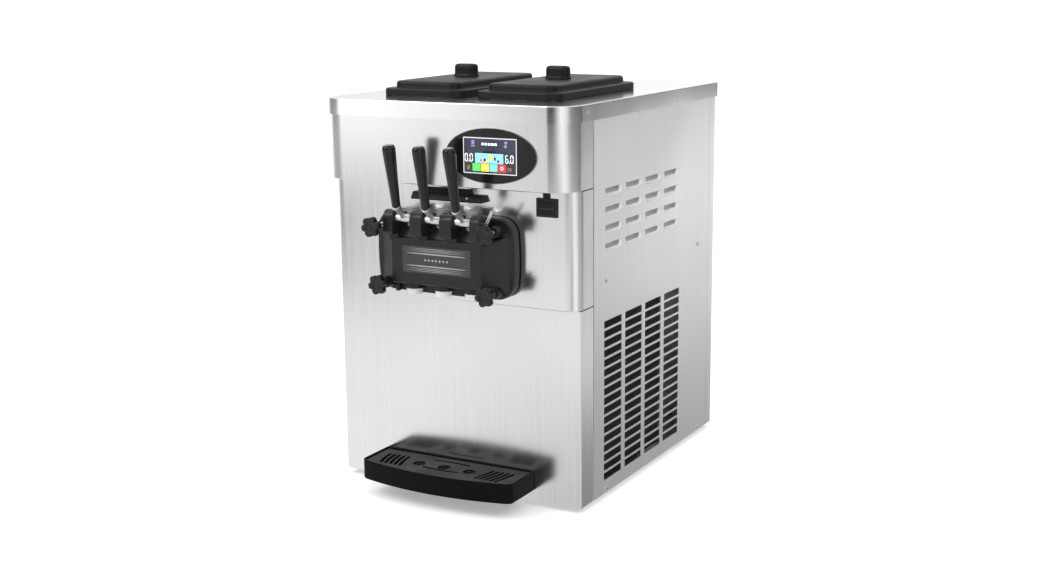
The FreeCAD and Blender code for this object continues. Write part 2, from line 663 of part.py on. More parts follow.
def condenser_fan():
    x = COIL_X[0] - 50
    hub = rod((x, FAN_Y, FAN_Z), X_AXIS, 26, 22)
    blades = []
    for k in range(5):
        blade = box(x + 10, x + 12, -26, 26, 20, FAN_R)
        blade.rotate(V(x + 11, 0, 0), Z_AXIS, 28)
        blade.rotate(V(0, 0, 0), X_AXIS, 72 * k)
        blade.translate(V(0, FAN_Y, FAN_Z))
        blades.append(blade)
    shaft = rod((x - 20, FAN_Y, FAN_Z), X_AXIS, 4, 30)
    return fuse([hub] + blades + [shaft])


def fan_motor():
    """The motor case on a bar that spans the shroud's collar and meets its edge."""
    x = COIL_X[0] - 58
    reach = FAN_R + 9
    case = rod((x - 62, FAN_Y, FAN_Z), X_AXIS, 42, 58)
    bar = box(x - 12, x - 8, FAN_Y - 8, FAN_Y + 8, FAN_Z - reach, FAN_Z + reach)
    links = [box(x - 12, x, FAN_Y - 8, FAN_Y + 8, z, z + 5) for z in (FAN_Z - reach, FAN_Z + reach - 5)]
    way = rod((x - 30, FAN_Y, FAN_Z), X_AXIS, 4 + FIT, 40)
    return fuse([case, bar] + links).cut(way)


def pipe(points, radius, bend):
    """A copper pipe: straight runs joined by tangent arcs."""
    corners = [V(*p) for p in points]
    edges = []
    start = corners[0]
    for before, here, after in zip(corners, corners[1:], corners[2:]):
        way_in = (here - before).normalize()
        way_out = (after - here).normalize()
        half = way_in.getAngle(way_out) / 2
        reach = bend * math.tan(half)
        first = here - way_in * reach
        last = here + way_out * reach
        inward = (way_out - way_in).normalize()
        middle = here + inward * (bend / math.cos(half) - bend)
        edges.append(Part.LineSegment(start, first).toShape())
        edges.append(Part.Arc(first, middle, last).toShape())
        start = last
    edges.append(Part.LineSegment(start, corners[-1]).toShape())
    path = Part.Wire(edges)
    ring_wire = Part.Wire(Part.Circle(corners[0], corners[1] - corners[0], radius).toShape())
    return path.makePipeShell([ring_wire], True, False)


def refrigerant_pipes():
    """Delivery, liquid and suction pipes, with the filter drier in the liquid line."""
    delivery = pipe([(-100, 165, 205), (-100, 165, 262), (120, 165, 354), (234, 165, 368),
                     (234, 165, 352.5)], 4, 7)
    x, y, radius = PIPE_HOLES["liquid"]
    liquid = pipe([(206, 350, 330), (166, 350, 330), (146, 290, 360), (60, 290, 360), (x, y, 365),
                   (x, y, 389.5)], radius, 6)
    x, y, radius = PIPE_HOLES["suction"]
    suction = pipe([(x, y, 389.5), (x, y, 330), (-190, 190, 260), (-190, 150, 214)], radius, 14)
    drier = rod((88, 290, 360), X_AXIS, 10, 40)
    return Part.makeCompound([delivery, fuse([liquid, drier]), suction])


# --- controls -------------------------------------------------------------------------
def control_box():
    case = slab(20, 196, HEAD_FRONT + 8, -14, 622, 712, 4)
    return case.cut(slab(23, 193, HEAD_FRONT + 11, -17, 625, 709, 2))


def control_bezel():
    rim = ellipse_prism(BEZEL_HALF_X, BEZEL_HALF_Z, HEAD_FRONT - 2.2, HEAD_FRONT - 0.1)
    spigot = ellipse_prism(BEZEL_HALF_X - 7, BEZEL_HALF_Z - 7, HEAD_FRONT - 0.2, HEAD_FRONT + 6)
    window = box(SCREEN_X[0] - 0.4, SCREEN_X[1] + 0.4, HEAD_FRONT - 4, HEAD_FRONT + 8,
                 SCREEN_Z[0] - 0.4, SCREEN_Z[1] + 0.4)
    return fuse([rim, spigot]).cut(window)


def touchscreen():
    return box(SCREEN_X[0], SCREEN_X[1], HEAD_FRONT - 2.4, HEAD_FRONT + 7, *SCREEN_Z)


# --- dispensing door ------------------------------------------------------------------
def flange_plate():
    half, bow = FLANGE_HALF, FLANGE_BOW
    low, high = FLANGE_BOTTOM, FLANGE_TOP
    middle = (low + high) / 2
    y = MIDDLE_FRONT - 3.1
    corners = [V(-half, y, low), V(half, y, low), V(half, y, high), V(-half, y, high)]
    middles = [V(0, y, low - bow / 2), V(half + bow, y, middle), V(0, y, high + bow / 2),
               V(-half - bow, y, middle)]
    edges = [Part.Arc(corners[k], middles[k], corners[(k + 1) % 4]).toShape() for k in range(4)]
    plate = Part.Face(Part.Wire(edges)).extrude(V(0, FLANGE_FRONT - y, 0))
    plate = plate.makeFillet(30, edges_along(plate, Y_AXIS, lambda p: True))
    front = [e for e in plate.Edges if e.BoundBox.YMax < FLANGE_FRONT + 0.1]
    return plate.makeFillet(3, front)


def door_block():
    def frame(y, half, low, high):
        corners = [V(-half, y, low), V(half, y, low), V(half, y, high), V(-half, y, high)]
        return Part.makePolygon(corners + corners[:1])
    back = FLANGE_FRONT + 1
    block = Part.makeLoft([frame(back, 142, BLOCK_BOTTOM - 9, BLOCK_TOP + 11),
                           frame(BLOCK_FRONT, BLOCK_HALF, BLOCK_BOTTOM, BLOCK_TOP)], True, True)
    uprights = [e for e in block.Edges if e.BoundBox.YMax < BLOCK_FRONT + 0.1]
    return block.makeFillet(2.5, uprights)


def lug(x0, x1):
    """One drum-shaped ear of the lever hinge, with the web that ties it to the block."""
    ear = rod((x0, PIVOT_Y, PIVOT_Z), X_AXIS, LUG_R, x1 - x0)
    front = PIVOT_Y - LUG_R
    body = prism([(x0, front, PIVOT_Z), (x0, front, LUG_FOOT), (x0, BLOCK_FRONT - 1, LUG_FOOT),
                  (x0, BLOCK_FRONT - 1, BLOCK_TOP - 6), (x0, FLANGE_FRONT + 1, BLOCK_TOP - 6),
                  (x0, FLANGE_FRONT + 1, FLANGE_TOP - 4), (x0, PIVOT_Y + 4, PIVOT_Z + LUG_R - 1)],
                 V(x1 - x0, 0, 0))
    toe = [e for e in body.Edges if e.BoundBox.YMax < front + 0.1 and e.BoundBox.ZMax < LUG_FOOT + 0.1]
    return ear.fuse(body.makeFillet(8, toe))


def dispense_door():
    back = MIDDLE_FRONT - 3.1
    bridge = prism([(-99.5, BLOCK_FRONT + 1, BLOCK_TOP - 4), (-99.5, -107, 526), (-99.5, -103, 530),
                    (-99.5, FLANGE_FRONT + 1, 530), (-99.5, FLANGE_FRONT + 1, BLOCK_TOP - 4)],
                   V(199, 0, 0))
    solids = [flange_plate(), door_block(), bridge] + [lug(*span) for span in LUGS]
    for side in (-1, 1):
        for z in STUD_Z.values():
            solids.append(rod((side * STUD_X, -116, z), Y_AXIS, 11, 30))
    for x in LEVER_X:
        solids.append(rod((x, PLUNGER_Y, 400), Z_AXIS, BARREL_R, 25))
    solids.append(slab(-108, -99, -99, -90, 396, 414, 4))
    holes = [rod((x, PLUNGER_Y, 380), Z_AXIS, PLUNGER_R + FIT, 240) for x in LEVER_X]
    holes += [ring((x, PLUNGER_Y, 380), Z_AXIS, CAP_R + 0.4, BARREL_R, 406.4 - 380) for x in LEVER_X]
    holes += [rod((x, PLUNGER_Y, 380), Z_AXIS, CAP_R + 0.4, 18) for x in LEVER_X]
    holes.append(rod((-130, PIVOT_Y, PIVOT_Z), X_AXIS, ROD_R + FIT, 260))
    for side in (-1, 1):
        holes.append(rod((side * CYLINDER_X, back + 1, 436), -Y_AXIS, 7, 26))
        holes.append(rod((side * 18, back + 1, 436), -Y_AXIS, 6, 14))
        for z in STUD_Z.values():
            holes.append(rod((side * STUD_X, -130, z), Y_AXIS, STUD_R + FIT, 80))
    holes.append(box(-24, 24, back - 14, back - 2, 430, 442))
    return cut(fuse(solids), holes)


def door_studs():
    studs = []
    for side in (-1, 1):
        for z in STUD_Z.values():
            start = (side * STUD_X, STUD_END, z)
            studs.append(fuse([rod(start, Y_AXIS, STUD_R, -60 - STUD_END),
                               rod((side * STUD_X, -65.6, z), Y_AXIS, 9, 5)]))
    return Part.makeCompound(studs)


def nozzle_caps():
    """Push-on caps with a six-pointed outlet."""
    caps = []
    for x in LEVER_X:
        cup = rod((x, PLUNGER_Y, 394), Z_AXIS, CAP_R, 12)
        cup = cup.cut(rod((x, PLUNGER_Y, 397.5), Z_AXIS, BARREL_R + 0.1, 20))
        star = []
        for k in range(12):
            radius = 8.5 if k % 2 else 4.5
            angle = math.radians(30 * k)
            star.append((x + radius * math.cos(angle), PLUNGER_Y + radius * math.sin(angle), 393))
        caps.append(cup.cut(prism(star, V(0, 0, 10))))
    return Part.makeCompound(caps)


def pivot_rod():
    """The hinge pin of the levers, bent up at its right end to be pulled out by."""
    return pipe([(PIN_LEFT, PIVOT_Y, PIVOT_Z), (PIN_CORNER, PIVOT_Y, PIVOT_Z),
                 (PIN_END[0], PIVOT_Y, PIN_END[1])], ROD_R, 6)


def lever_arm(x):
    """The steel barrel on the hinge pin, its tail to the plunger and its tapered shank."""
    low, high = [(x,) + point for point in SHANK]
    barrel = rod((x - BARREL_HALF, PIVOT_Y, PIVOT_Z), X_AXIS, 8, 2 * BARREL_HALF)
    tail = cone((x, PIVOT_Y + 4, PIVOT_Z), (x, PLUNGER_Y, PIVOT_Z), 4.6, 2.8)
    tip = Part.makeSphere(4, V(x, PLUNGER_Y, PIVOT_Z))
    shank = cone(low, high, 4.2, 7.4)
    tang = cone(high, (x, -158, 592), 5.5, 4.5)
    bore = rod((x - 25, PIVOT_Y, PIVOT_Z), X_AXIS, ROD_R + FIT, 50)
    return fuse([barrel, tail, tip, shank, tang]).cut(bore)


def lever_grip(x):
    """A tapered handle, thickest at its rounded top, with a slight bend."""
    stations = ((-151.8, 567.0, 8.0), (-157.5, 596.0, 8.8), (-163.0, 626.0, 10.0),
                (-168.5, 656.0, 11.6), GRIP_TOP + (GRIP_TOP_R,))
    way = V(0, -0.16, 0.987)
    rings = [Part.Wire(Part.Circle(V(x, y, z), way, r).toShape()) for y, z, r in stations]
    grip = Part.makeLoft(rings, True, False)
    cap = Part.makeSphere(GRIP_TOP_R, V(x, *GRIP_TOP))
    cap = cap.common(box(x - 13, x + 13, -190, -150, GRIP_TOP[1] - 4, GRIP_TOP[1] + 9.5))
    low, high = [(x,) + point for point in SHANK]
    tang = cone(high, (x, -158, 592), 5.52, 4.52)
    shank = cone(low, high, 4.25, 7.45)
    return fuse([grip, cap]).cut(tang).cut(shank)


def draw_plunger(x):
    """A round valve spool with two seal grooves and a window for the lever's tip."""
    spool = rod((x, PLUNGER_Y, PLUNGER_BOTTOM), Z_AXIS, PLUNGER_R, PLUNGER_TOP - PLUNGER_BOTTOM)
    for z in (418, 452):
        spool = spool.cut(ring((x, PLUNGER_Y, z), Z_AXIS, PLUNGER_R + 1, PLUNGER_R - 1.6, 3))
    z = PIVOT_Z
    window = prism([(x - 4.3, PLUNGER_Y + 13, z + 5.5), (x - 4.3, PLUNGER_Y + 13, z - 5.5),
                    (x - 4.3, PLUNGER_Y, z - 5.5), (x - 4.3, PLUNGER_Y - 13, z - 11),
                    (x - 4.3, PLUNGER_Y - 13, z + 5.5)], V(8.6, 0, 0))
    return spool.cut(window)


def star_knob(side_name, level):
    """Six round lobes about a dished face, with a plain neck behind."""
    x = SIDES[side_name] * STUD_X
    z = STUD_Z[level]
    y = KNOB_FACE[(side_name, level)]
    disc = rod((x, y, z), Y_AXIS, 14, KNOB_DISC)
    lobes = []
    for k in range(6):
        angle = math.radians(60 * k + 12)
        lobes.append(rod((x + 13.2 * math.cos(angle), y, z + 13.2 * math.sin(angle)), Y_AXIS,
                         KNOB_R - 13.2, KNOB_DISC))
    neck = rod((x, y + KNOB_DISC - 1, z), Y_AXIS, 8.5, KNOB_NECK + 1)
    dish = Part.makeSphere(30, V(x, y - 28, z))
    bore = rod((x, y + 6, z), Y_AXIS, STUD_R + FIT, KNOB_DISC + KNOB_NECK)
    return fuse([disc] + lobes + [neck]).cut(dish).cut(bore)


def splash_guard():
    """A black hood over the door: a wide lower tier and a narrower upper one, both sloping.
    It ends just behind the valve spools, which rise past it."""
    wall = MIDDLE_FRONT - 0.1
    lower = [(wall, 574.5), (-82.5, 574.5), (-84, 577), (-76, 588), (wall, 588)]
    upper = [(wall, 587), (-73, 587), (-69, 598), (wall, 598)]
    return fuse([prism([(-half, y, z) for y, z in side], V(2 * half, 0, 0))
                 for half, side in ((78, lower), (49, upper))])


def badge():
    plate = slab(186, 230, -69.6, MIDDLE_FRONT - 0.1, 556, 591, 1)
    hook = box(200, 214, -69.2, MIDDLE_FRONT - 0.1, 590, 603)
    return fuse([plate, hook])


# --- drip tray ------------------------------------------------------------------------
def tray_outline(inset, z):
    half = TRAY_HALF - inset
    corner = TRAY_CORNER + inset
    apex = TRAY_APEX + inset
    back = TRAY_BACK - inset
    points = [V(half, back, z), V(-half, back, z), V(-half, corner, z), V(half, corner, z)]
    front = Part.Arc(points[2], V(0, apex, z), points[3]).toShape()
    sides = [Part.makeLine(points[3], points[0]), Part.makeLine(points[0], points[1]),
             Part.makeLine(points[1], points[2])]
    return Part.Face(Part.Wire([front] + sides))


def tray_body(inset, z0, z1, radius):
    body = tray_outline(inset, z0).extrude(V(0, 0, z1 - z0))
    front = edges_along(body, Z_AXIS, lambda p: p.y < TRAY_CORNER + 20)
    return body.makeFillet(radius, front)


def drip_tray():
    outer = tray_body(0, TRAY_BOTTOM, TRAY_TOP, 9)
    room = tray_body(TRAY_WALL + 3, TRAY_BOTTOM + 9, TRAY_TOP + 1, 6)
    ledge = tray_body(TRAY_WALL, GRILLE_TOP - GRILLE_THICK - 0.3, TRAY_TOP + 1, 7)
    channels = [box(x - 12, x + 12, -136, TRAY_BACK + 1, TRAY_BOTTOM - 1, TRAY_BOTTOM + 5.5)
                for x in (-110, 110)]
    return outer.cut(room).cut(ledge).cut(Part.makeCompound(channels))


def curved_slot(x, side):
    """One of the leaning, slightly bent slots at the ends of the grille."""
    points = [V(x - side * 7, -134, 0), V(x + side * 2, -110, 0), V(x + side * 4, -84, 0)]
    outer = Part.Arc(points[0] + V(-2.2, 0, 0), points[1] + V(-2.2, 0, 0), points[2] + V(-2.2, 0, 0))
    inner = Part.Arc(points[2] + V(2.2, 0, 0), points[1] + V(2.2, 0, 0), points[0] + V(2.2, 0, 0))
    ends = [Part.makeLine(points[2] + V(-2.2, 0, 0), points[2] + V(2.2, 0, 0)),
            Part.makeLine(points[0] + V(2.2, 0, 0), points[0] + V(-2.2, 0, 0))]
    face = Part.Face(Part.Wire([outer.toShape(), ends[0], inner.toShape(), ends[1]]))
    slot = face.extrude(V(0, 0, 20))
    slot.translate(V(0, 0, GRILLE_TOP - 10))
    return slot


def drip_grille():
    plate = tray_body(TRAY_WALL + 0.3, GRILLE_TOP - GRILLE_THICK, GRILLE_TOP, 6.7)
    holes = []
    for x in (-57, 0, 57):
        hole = rod((x, -108, GRILLE_TOP - 10), Z_AXIS, 12.5, 20)
        bars = [box(x - 13, x + 13, -109 + d, -107 + d, 0, 90) for d in (-6, 0, 6)]
        bars += [box(x - 1 + d, x + 1 + d, -121, -95, 0, 90) for d in (-6, 0, 6)]
        holes.append(hole.cut(Part.makeCompound(bars)))
    for side in (-1, 1):
        holes += [curved_slot(side * (92 + 11 * k), side) for k in range(5)]
    holes.append(box(-12, 58, -84, -80.5, 0, 90))
    holes.append(box(-58, 12, -136, -132.5, 0, 90))
    return cut(plate, holes)


def tray_bracket():
    """Two flat prongs on a back strip; the tray's channels slide over the prongs."""
    strip = box(-130, 130, LOWER_FRONT + SHEET + 0.1, LOWER_FRONT + SHEET + 3, 10, 34)
    prongs = [box(x - 10, x + 10, -130, LOWER_FRONT + SHEET + 1, TRAY_BOTTOM + 0.7, TRAY_BOTTOM + 4.7)
              for x in (-110, 110)]
    return fuse([strip] + prongs)


def prong_slots():
    """The openings in the lower front panel that the tray's prongs pass through."""
    return [box(x - 10.4, x + 10.4, LOWER_FRONT - 1, LOWER_FRONT + 3, TRAY_BOTTOM + 0.3, TRAY_BOTTOM + 5.1)
            for x in (-110, 110)]


# --- all pieces -----------------------------------------------------------------------
def all_nodes():
    holes = screw_holes()
    pipes = refrigerant_pipes()
    nodes = {
        "base_pan": cut(base_pan(), holes),
        "rubber_feet": rubber_feet(),
        "corner_posts": corner_posts(),
        "mid_deck": mid_deck(),
        "lower_front_panel": cut(lower_front_panel(), prong_slots()),
        "middle_front_panel": middle_front_panel(),
        "head_panel": cut(head_panel(), holes),
        "top_cap": cut(top_cap(), holes),
        "rear_cover": cut(rear_cover(), holes),
        "panel_screws": panel_screws(),
        "cable_gland": cable_gland(),
        "feed_tubes": feed_tubes(),
        "freezing_cylinders": freezing_cylinders(),
        "insulation_block": insulation_block(),
        "cylinder_seals": cylinder_seals(),
        "gearboxes": gearboxes(),
        "drive_motor": drive_motor(),
        "motor_pulley": motor_pulley(),
        "drive_belts": drive_belts(),
        "compressor": compressor().cut(pipes),
        "condenser": condenser(),
        "fan_shroud": fan_shroud(),
        "condenser_fan": condenser_fan(),
        "fan_motor": fan_motor(),
        "refrigerant_pipes": pipes,
        "control_box": control_box(),
        "control_bezel": control_bezel(),
        "touchscreen": touchscreen(),
        "dispense_door": dispense_door(),
        "door_studs": door_studs(),
        "nozzle_caps": nozzle_caps(),
        "pivot_rod": pivot_rod(),
        "splash_guard": splash_guard(),
        "badge": badge(),
        "drip_tray": drip_tray(),
        "drip_grille": drip_grille(),
        "tray_bracket": tray_bracket(),
    }
    right_side = {
        "side_panel": cut(side_panel_right(), holes),
        "hopper": hopper_right(),
        "hopper_lid": hopper_lid_right(),
    }
    for name, shape in right_side.items():
        nodes[name + "_right"] = shape
        nodes[name + "_left"] = mirror(shape)
    for name, side in SIDES.items():
        nodes["beater_" + name] = beater(side)
        nodes["gearbox_pulley_" + name] = gearbox_pulley(side, name)
        for level in STUD_Z:
            nodes["star_knob_%s_%s" % (level, name)] = star_knob(name, level)
    for name, x in zip(("left", "middle", "right"), LEVER_X):
        nodes["lever_arm_" + name] = lever_arm(x)
        nodes["lever_grip_" + name] = lever_grip(x)
        nodes["draw_plunger_" + name] = draw_plunger(x)
    return nodes


def main():
    os.makedirs("parts", exist_ok=True)
    for name, shape in sorted(all_nodes().items()):
        shape.translate(V(0, -ORIGIN_Y, FOOT_HEIGHT))
        assert shape.isValid(), name
        shape.exportStep("parts/%s.step" % name)
        print(name, len(shape.Solids), round(shape.Volume / 1000, 1))


main()
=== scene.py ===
import math

import bmesh
import bpy
from mathutils import Matrix, Vector

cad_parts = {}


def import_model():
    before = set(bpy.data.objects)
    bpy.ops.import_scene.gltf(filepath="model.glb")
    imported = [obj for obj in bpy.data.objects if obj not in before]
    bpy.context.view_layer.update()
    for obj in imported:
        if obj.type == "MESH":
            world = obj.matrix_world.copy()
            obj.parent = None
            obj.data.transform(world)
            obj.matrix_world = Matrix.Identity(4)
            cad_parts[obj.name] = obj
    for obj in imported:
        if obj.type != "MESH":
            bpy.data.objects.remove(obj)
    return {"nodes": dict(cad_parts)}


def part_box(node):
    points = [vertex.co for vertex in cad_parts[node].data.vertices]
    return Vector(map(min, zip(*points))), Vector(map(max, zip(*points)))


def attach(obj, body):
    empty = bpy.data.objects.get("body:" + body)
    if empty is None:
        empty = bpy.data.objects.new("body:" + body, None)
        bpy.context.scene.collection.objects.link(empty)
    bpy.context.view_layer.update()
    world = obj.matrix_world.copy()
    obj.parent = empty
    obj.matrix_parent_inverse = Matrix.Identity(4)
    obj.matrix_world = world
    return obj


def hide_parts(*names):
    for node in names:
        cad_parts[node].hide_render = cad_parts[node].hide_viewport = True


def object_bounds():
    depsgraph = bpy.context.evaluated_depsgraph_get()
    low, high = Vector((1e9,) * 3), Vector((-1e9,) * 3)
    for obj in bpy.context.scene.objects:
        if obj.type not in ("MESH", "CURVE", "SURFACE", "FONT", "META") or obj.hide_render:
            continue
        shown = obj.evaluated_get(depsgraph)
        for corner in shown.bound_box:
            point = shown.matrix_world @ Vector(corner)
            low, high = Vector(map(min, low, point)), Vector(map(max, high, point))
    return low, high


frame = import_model()
cad_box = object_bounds()

# Lengths are in millimetres about the corner where the right side panel's front edge meets
# its lower edge: X to the machine's right, Y to the back, Z up. at() turns them into the
# metres of the frame.
MM = 0.001
ORIGIN = Vector((0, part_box("side_panel_right")[0].y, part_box("side_panel_right")[0].z))
SHEET = 1.2
SIDES = {"left": -1, "right": 1}
LEVELS = ("top", "bottom")
LEVERS = ("left", "middle", "right")


def at(x, y, z):
    return Vector((x, y, z)) * MM + ORIGIN


def span(node):
    """Lowest and highest x, y and z of a CAD node."""
    low, high = ((corner - ORIGIN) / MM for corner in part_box(node))
    return low.x, high.x, low.y, high.y, low.z, high.z


def centre_of(node):
    x0, x1, y0, y1, z0, z1 = span(node)
    return (x0 + x1) / 2, (y0 + y1) / 2, (z0 + z1) / 2


def show(thing):
    bpy.context.scene.collection.objects.link(thing)


def add_node(tree, kind, links=(), **settings):
    """A shader node with its settings, and its inputs joined up or given values."""
    node = tree.nodes.new("ShaderNode" + kind)
    for key, value in settings.items():
        setattr(node, key, value)
    for socket, value in links:
        if isinstance(value, bpy.types.NodeSocket):
            tree.links.new(value, node.inputs[socket])
        else:
            node.inputs[socket].default_value = value
    return node


# --- flat outlines --------------------------------------------------------------------
def sweep(start, end, steps):
    """Angles in radians from one to another given in degrees, both included."""
    return [math.radians(start + (end - start) * k / steps) for k in range(steps + 1)]


def round_turn(steps):
    return [2 * math.pi * k / steps for k in range(steps)]


def arc(cx, cy, radius, start, end, steps):
    return [(cx + radius * math.cos(t), cy + radius * math.sin(t)) for t in sweep(start, end, steps)]


def circle(cx, cy, radius, steps=40):
    return arc(cx, cy, radius, 0, 360, steps)[:-1]


def ellipse(cx, cy, half_x, half_y, steps=96):
    return [(cx + half_x * x, cy + half_y * y) for x, y in circle(0, 0, 1, steps)]


def rounded_box(x0, x1, y0, y1, radii, steps=6):
    """A rectangle with round corners; radii is one number, or one for each corner in turn
    from the lower left, going round anticlockwise."""
    if not isinstance(radii, (tuple, list)):
        radii = (radii,) * 4
    corners = ((x0, y0, 1, 1, 180), (x1, y0, -1, 1, 270), (x1, y1, -1, -1, 0), (x0, y1, 1, -1, 90))
    points = []
    for (x, y, sx, sy, start), r in zip(corners, radii):
        if r <= 0:
            points.append((x, y))
        else:
            points += arc(x + sx * r, y + sy * r, r, start, start + 90, steps)
    return points


def filleted(corners, radius, steps=6):
    """A polygon with every corner rounded by the same radius."""
    points = []
    count = len(corners)
    for k, corner in enumerate(corners):
        here = Vector(corner)
        before = (Vector(corners[k - 1]) - here).normalized()
        after = (Vector(corners[(k + 1) % count]) - here).normalized()
        half = before.angle(after) / 2
        reach = radius / math.tan(half)
        first = here + before * reach
        last = here + after * reach
        centre = here + (before + after).normalized() * (radius / math.sin(half))
        a0 = math.atan2(*(first - centre).yx)
        turn = (math.atan2(*(last - centre).yx) - a0 + math.pi) % (2 * math.pi) - math.pi
        points += [(centre.x + radius * math.cos(a0 + turn * s / steps),
                    centre.y + radius * math.sin(a0 + turn * s / steps)) for s in range(steps + 1)]
    return points


def signed_area(points):
    return sum(a[0] * b[1] - b[0] * a[1] for a, b in zip(points, points[1:] + points[:1])) / 2


# Directions in which a flat outline can face: its u, its v and its way out.
TOP = (Vector((1, 0, 0)), Vector((0, 1, 0)), Vector((0, 0, 1)))
FRONT = (Vector((1, 0, 0)), Vector((0, 0, 1)), Vector((0, -1, 0)))
REAR = (Vector((-1, 0, 0)), Vector((0, 0, 1)), Vector((0, 1, 0)))
RIGHT = (Vector((0, 1, 0)), Vector((0, 0, 1)), Vector((1, 0, 0)))
LEFT = (Vector((0, -1, 0)), Vector((0, 0, 1)), Vector((-1, 0, 0)))


def along(face, u, v, w):
    return face[0] * u + face[1] * v + face[2] * w


def hoop(middle, side, across, radius, steps):
    return [middle + side * (radius * math.cos(t)) + across * (radius * math.sin(t))
            for t in round_turn(steps)]


def grid_faces(rows, columns):
    """Quads over a grid of so many rows and columns of points."""
    return [(r * columns + c, r * columns + c + 1, (r + 1) * columns + c + 1, (r + 1) * columns + c)
            for r in range(rows - 1) for c in range(columns - 1)]


# --- building solid shapes ------------------------------------------------------------
class Shape:
    """A mesh that is put together from several closed skins, in millimetres."""

    def __init__(self):
        self.points = []
        self.faces = []

    def add(self, points, faces):
        base = len(self.points)
        self.points += [Vector(p) for p in points]
        self.faces += [[base + k for k in f] for f in faces]
        return self

    def loft(self, rings, start=True, end=True):
        """A skin over rings that have the same number of points."""
        count = len(rings[0])
        points = [p for ring in rings for p in ring]
        faces = []
        for r in range(len(rings) - 1):
            for k in range(count):
                n = (k + 1) % count
                faces.append((r * count + k, r * count + n, (r + 1) * count + n, (r + 1) * count + k))
        if start:
            faces.append(tuple(reversed(range(count))))
        if end:
            faces.append(tuple(range(len(points) - count, len(points))))
        return self.add(points, faces)

    def turned(self, centre, axis, profile, steps=40):
        """A turned solid: profile lists (distance along the axis, radius)."""
        axis = Vector(axis).normalized()
        side = axis.orthogonal().normalized()
        return self.loft([hoop(Vector(centre) + axis * distance, side, axis.cross(side), radius, steps)
                          for distance, radius in profile])

    def plate(self, face, loops, w0, w1, bevel=0.25):
        """A flat plate between two depths. The first loop is its edge and the rest are holes."""
        curve = bpy.data.curves.new("outline", "CURVE")
        curve.dimensions = "2D"
        curve.fill_mode = "BOTH"
        curve.extrude = (w1 - w0) / 2 - bevel
        curve.bevel_depth = bevel
        curve.bevel_resolution = 1
        curve.offset = -bevel
        for k, loop in enumerate(loops):
            if (signed_area(loop) > 0) != (k == 0):
                loop = loop[::-1]
            spline = curve.splines.new("POLY")
            spline.points.add(len(loop) - 1)
            for point, (u, v) in zip(spline.points, loop):
                point.co = (u, v, 0, 1)
            spline.use_cyclic_u = True
        holder = bpy.data.objects.new("outline", curve)
        mesh = bpy.data.meshes.new_from_object(holder)
        middle = (w0 + w1) / 2
        self.add([along(face, v.co.x, v.co.y, v.co.z + middle) for v in mesh.vertices],
                 [tuple(p.vertices) for p in mesh.polygons])
        bpy.data.objects.remove(holder)
        bpy.data.curves.remove(curve)
        bpy.data.meshes.remove(mesh)
        return self

    def block(self, x0, x1, y0, y1, z0, z1, radius=0.0, edge=0.4, steps=5):
        """An upright block with rounded corners and softened upper and lower edges."""
        rings = []
        for inset, z in ((edge, z0), (edge * 0.3, z0 + edge * 0.3), (0, z0 + edge),
                         (0, z1 - edge), (edge * 0.3, z1 - edge * 0.3), (edge, z1)):
            r = max(radius - inset, 0.05)
            rings.append([(x, y, z) for x, y in rounded_box(x0 + inset, x1 - inset, y0 + inset,
                                                            y1 - inset, r, steps)])
        return self.loft(rings)

    def piece(self, name, material, body, replaces=(), slot=None, sharp=35):
        """Makes the Blender object and puts it on its body."""
        mesh = bpy.data.meshes.new(name)
        mesh.from_pydata([at(*p) for p in self.points], [], self.faces)
        work = bmesh.new()
        work.from_mesh(mesh)
        bmesh.ops.remove_doubles(work, verts=work.verts, dist=0.002 * MM)
        bmesh.ops.recalc_face_normals(work, faces=work.faces)
        for f in work.faces:
            f.smooth = True
        work.to_mesh(mesh)
        work.free()
        mesh.set_sharp_from_angle(angle=math.radians(sharp))
        mesh.materials.append(material)
        piece = bpy.data.objects.new(name, mesh)
        show(piece)
        normals = piece.modifiers.new("flat_faces", "WEIGHTED_NORMAL")
        normals.keep_sharp = True
        normals.weight = 100
        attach(piece, body)
        if replaces:
            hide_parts(*replaces)
        return piece


def soft_rod(length, radius, edge=0.5):
    """Profile of a plain round bar with both ends softened."""
    return [(0, radius - edge), (edge * 0.3, radius - edge * 0.3), (edge, radius),
            (length - edge, radius), (length - edge * 0.3, radius - edge * 0.3),
            (length, radius - edge)]


